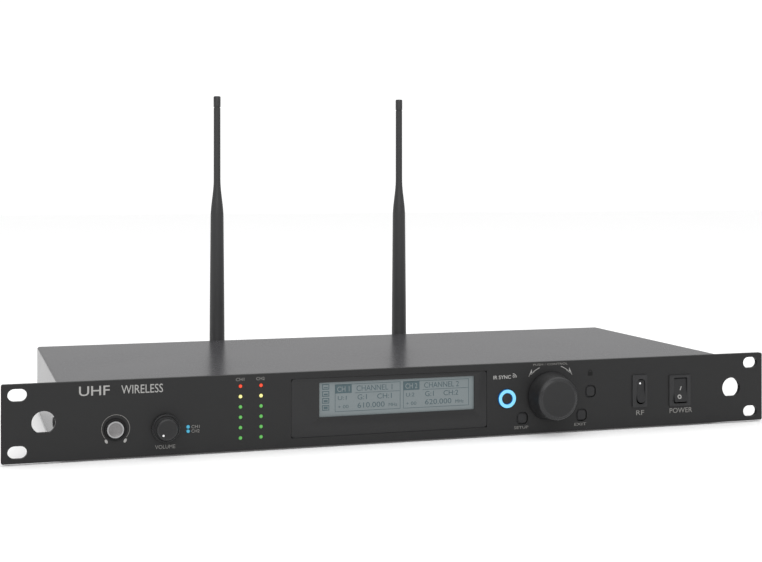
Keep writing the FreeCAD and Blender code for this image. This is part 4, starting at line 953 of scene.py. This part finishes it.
def make_balanced_socket(side):
    """A flanged three-pin output: a raised mouth, a keyed well and plated pins."""
    node = f"xlr_socket_{side}"
    low, high = node_box(node)
    x, _, z = middle(node)
    proud = high.y - CASE_BACK
    flange = prism(f"{side}_balanced_socket", rounded(low.x, high.x, low.z, high.z, 2.2), "XZ",
                   CASE_BACK, high.y - 0.5, soft=None)
    well = lathe("well", (x, CASE_BACK, z), [(0, -1), (9.6, -1), (9.6, 4), (0, 4)],
                 facing="back", sides=56)
    corners = [(x + turn * XLR_SCREW[0], z + turn * XLR_SCREW[1]) for turn in (-1, 1)]
    seats = [lathe("seat", (a, high.y, b), [(0, -0.5), (3.3, -0.5), (3.3, 1), (0, 1)],
                   facing="back", sides=32) for a, b in corners]
    pads = [lathe("pad", (a, CASE_BACK, b),
                  [(1.7, 0.1), (3.2, 0.1), (3.2, proud - 0.2), (1.7, proud - 0.2)],
                  facing="back", sides=32) for a, b in corners]
    carve(flange, well, *seats)
    clean(flange)
    soften(flange, 0.25)
    cup = lathe("cup", (x, CASE_BACK, z),
                [(0, low.y - CASE_BACK), (9.4, low.y - CASE_BACK), (9.4, 0), (10.5, 0),
                 (10.5, proud - 0.3), (10.2, proud), (8.5, proud), (8.2, proud - 0.3),
                 (8.2, -12.2), (6.2, -12.2), (6.2, -11.6), (0, -11.6)],
                facing="back", sides=72)
    key = prism("key", rounded(x - 1.3, x + 1.3, z - 8.6, z - 6.9, 0.4), "XZ", CASE_BACK - 12,
                CASE_BACK - 0.6, soft=0.1)
    tab = prism("tab", rounded(x - 3.4, x + 3.4, z + 10.9, z + 13.9, 0.5), "XZ", CASE_BACK + 0.5,
                high.y, soft=0.2)
    socket = join(f"{side}_balanced_socket", [flange, cup, key, tab, *pads])
    dress(socket, "black", stands_for=[node])
    pins = []
    for turn in (-90, 45, 135):
        place = (x + 4.6 * math.cos(math.radians(turn)), CASE_BACK,
                 z + 4.6 * math.sin(math.radians(turn)))
        pins.append(lathe("pin", place, [(0, -12.4), (1.1, -12.4), (1.1, -3.2), (0.85, -2.6),
                                         (0.45, -2.4), (0, -2.35)], facing="back", sides=24))
    dress(join(f"{side}_output_pins", pins), "nickel")


def make_jacks():
    """Two jack outputs, each with a plated six-sided nut and a threaded bush."""
    low, high = node_box("jack_sockets")
    z, out = (low.z + high.z) / 2, high.y
    housings, nuts = [], []
    for x in (low.x + JACK_HALF, high.x - JACK_HALF):
        housings.append(prism("housing", rounded(x - JACK_HALF, x + JACK_HALF, low.z, high.z,
                                                 0.8), "XZ", low.y, CASE_BACK - 1.2, soft=0.3))
        housings.append(lathe("bush", (x, CASE_BACK, z),
                              [(0, -20), (5, -20), (5, 1.0), (4.8, 1.2), (4.7, out - CASE_BACK),
                               (3.6, out - CASE_BACK), (3.2, 1.2), (3.2, -19), (0, -19)],
                              facing="back", sides=48))
        nut = prism("nut", ring_points(x, z, 7, 6), "XZ", CASE_BACK, CASE_BACK + 1.2, soft=None)
        carve(nut, lathe("hole", (x, CASE_BACK, z), [(0, -1), (5.02, -1), (5.02, 3), (0, 3)],
                         facing="back", sides=48))
        clean(nut)
        nuts.append(soften(nut, 0.15))
    dress(join("jack_bushes", housings), "black", stands_for=["jack_sockets"])
    dress(join("jack_nuts", nuts), "nickel")


def make_power_inlet():
    low, high = node_box("dc_inlet")
    x, _, z = middle("dc_inlet")
    inlet = prism("power_inlet", rounded(low.x, high.x, low.z, high.z, 1.2), "XZ", low.y,
                  high.y, soft=None)
    carve(inlet, lathe("bore", (x, CASE_BACK, z), [(0, -9), (2.9, -9), (2.9, 0.3), (3.4, 2),
                                                   (0, 2)], facing="back", sides=40))
    clean(inlet)
    dress(soften(inlet, 0.2), "black", stands_for=["dc_inlet"])
    dress(lathe("inlet_centre_pin", (x, CASE_BACK, z),
                [(0, -9.3), (1, -9.3), (1, -1.2), (0.7, -0.6), (0, -0.5)], facing="back",
                sides=24), "nickel")


def make_network_socket():
    """A plated shell with a stepped mouth, a black lining and eight contacts."""
    low, high = node_box("network_socket")
    x, _, z = middle("network_socket")
    shell = prism("network_shell", rounded(low.x, high.x, low.z, high.z, 0.7), "XZ", low.y,
                  high.y, soft=None)
    notch = [(x - 5.9, z + 4), (x - 5.9, z - 2.6), (x - 3.2, z - 2.6), (x - 3.2, z - 4.2),
             (x - 1.7, z - 4.2), (x - 1.7, z - 5.2), (x + 1.7, z - 5.2), (x + 1.7, z - 4.2),
             (x + 3.2, z - 4.2), (x + 3.2, z - 2.6), (x + 5.9, z - 2.6), (x + 5.9, z + 4)]
    carve(shell, prism("mouth", notch, "XZ", high.y - 14, high.y + 1, soft=None))
    clean(shell)
    dress(soften(shell, 0.15), "zinc", stands_for=["network_socket"])
    lining = prism("network_lining", [(x - 5.8, z - 2.4), (x + 5.8, z - 2.4), (x + 5.8, z + 3.9),
                                      (x - 5.8, z + 3.9)], "XZ", high.y - 13.9, high.y - 9,
                   soft=0.1)
    dress(lining, "black")
    wires = [prism("wire", [(high.y - 9.2, z + 3.8), (high.y - 2.2, z + 3.8),
                            (high.y - 2.2, z + 3.4), (high.y - 8.8, z - 0.2),
                            (high.y - 9.2, z - 0.2)], "YZ", x + place - 0.22, x + place + 0.22,
                   soft=None) for place in [-3.56 + 1.016 * step for step in range(8)]]
    dress(join("network_contacts", wires), "contact")


def make_cord_hook():
    low, high = node_box("cord_hook")
    x, _, z = middle("cord_hook")
    long = high.y - CASE_BACK
    hook = lathe("cord_retainer", (x, CASE_BACK, z),
                 [(0, 0), (5, 0), (5, long - 0.5), (4.7, long - 0.1), (4.3, long),
                  (3.7, long - 0.1), (3.2, long - 0.6), (3.2, 2.7), (3.0, 2.5), (0, 2.5)],
                 facing="back", sides=56)
    carve(hook, prism("mouth", [(x - 1.9, z), (x + 1.9, z), (x + 1.9, z + 7), (x - 1.9, z + 7)],
                      "XZ", CASE_BACK + 2.5, high.y + 1, soft=None))
    clean(hook)
    dress(soften(hook, 0.2), "black", stands_for=["cord_hook"])


def make_antenna_sockets():
    """Plated bayonet sockets with a stepped flange."""
    long = node_box("antenna_sockets")[1].y - CASE_BACK
    sockets = []
    for side in ("left", "right"):
        x, _, z = middle(f"antenna_{side}_hinge_pin")
        outline = [(0, -12), (6, -12), (6, 0), (7.5, 0), (7.5, 1.1), (7.1, 1.5), (5.2, 1.5),
                   (4.85, 1.7), (4.85, long - 0.4), (4.6, long), (4.2, long), (4.0, long - 0.3),
                   (4.0, 1.0), (0, 1.0)]
        sockets.append(lathe("socket", (x, CASE_BACK, z), outline, facing="back", sides=56))
    dress(join("bayonet_sockets", sockets), "nickel", stands_for=["antenna_sockets"])


bpy.context.scene.view_settings.view_transform = "Standard"
make_room()
make_skylight()
make_light("overhead_softbox", (0, 0.1, 1.8), (0, 0.1, 0), (2.6, 2.2), 9)
make_light("front_softbox", (-0.5, -2.0, 1.2), (0, 0, 0), (1.8, 1.2), 11)
make_camera()
paint_nodes()
make_window()
make_screen_print(make_screen())
make_lights()
make_headphone()
make_volume_knob()
make_sync_key()
make_control_knob()
make_keys()
make_switches()
make_legends()
for antenna_side in ("left", "right"):
    make_whip(antenna_side)
    make_coupling(antenna_side)
    make_elbow(antenna_side)
    make_balanced_socket(antenna_side)
make_antenna_sockets()
make_jacks()
make_power_inlet()
make_network_socket()
make_cord_hook()
make_screws()
make_feet()
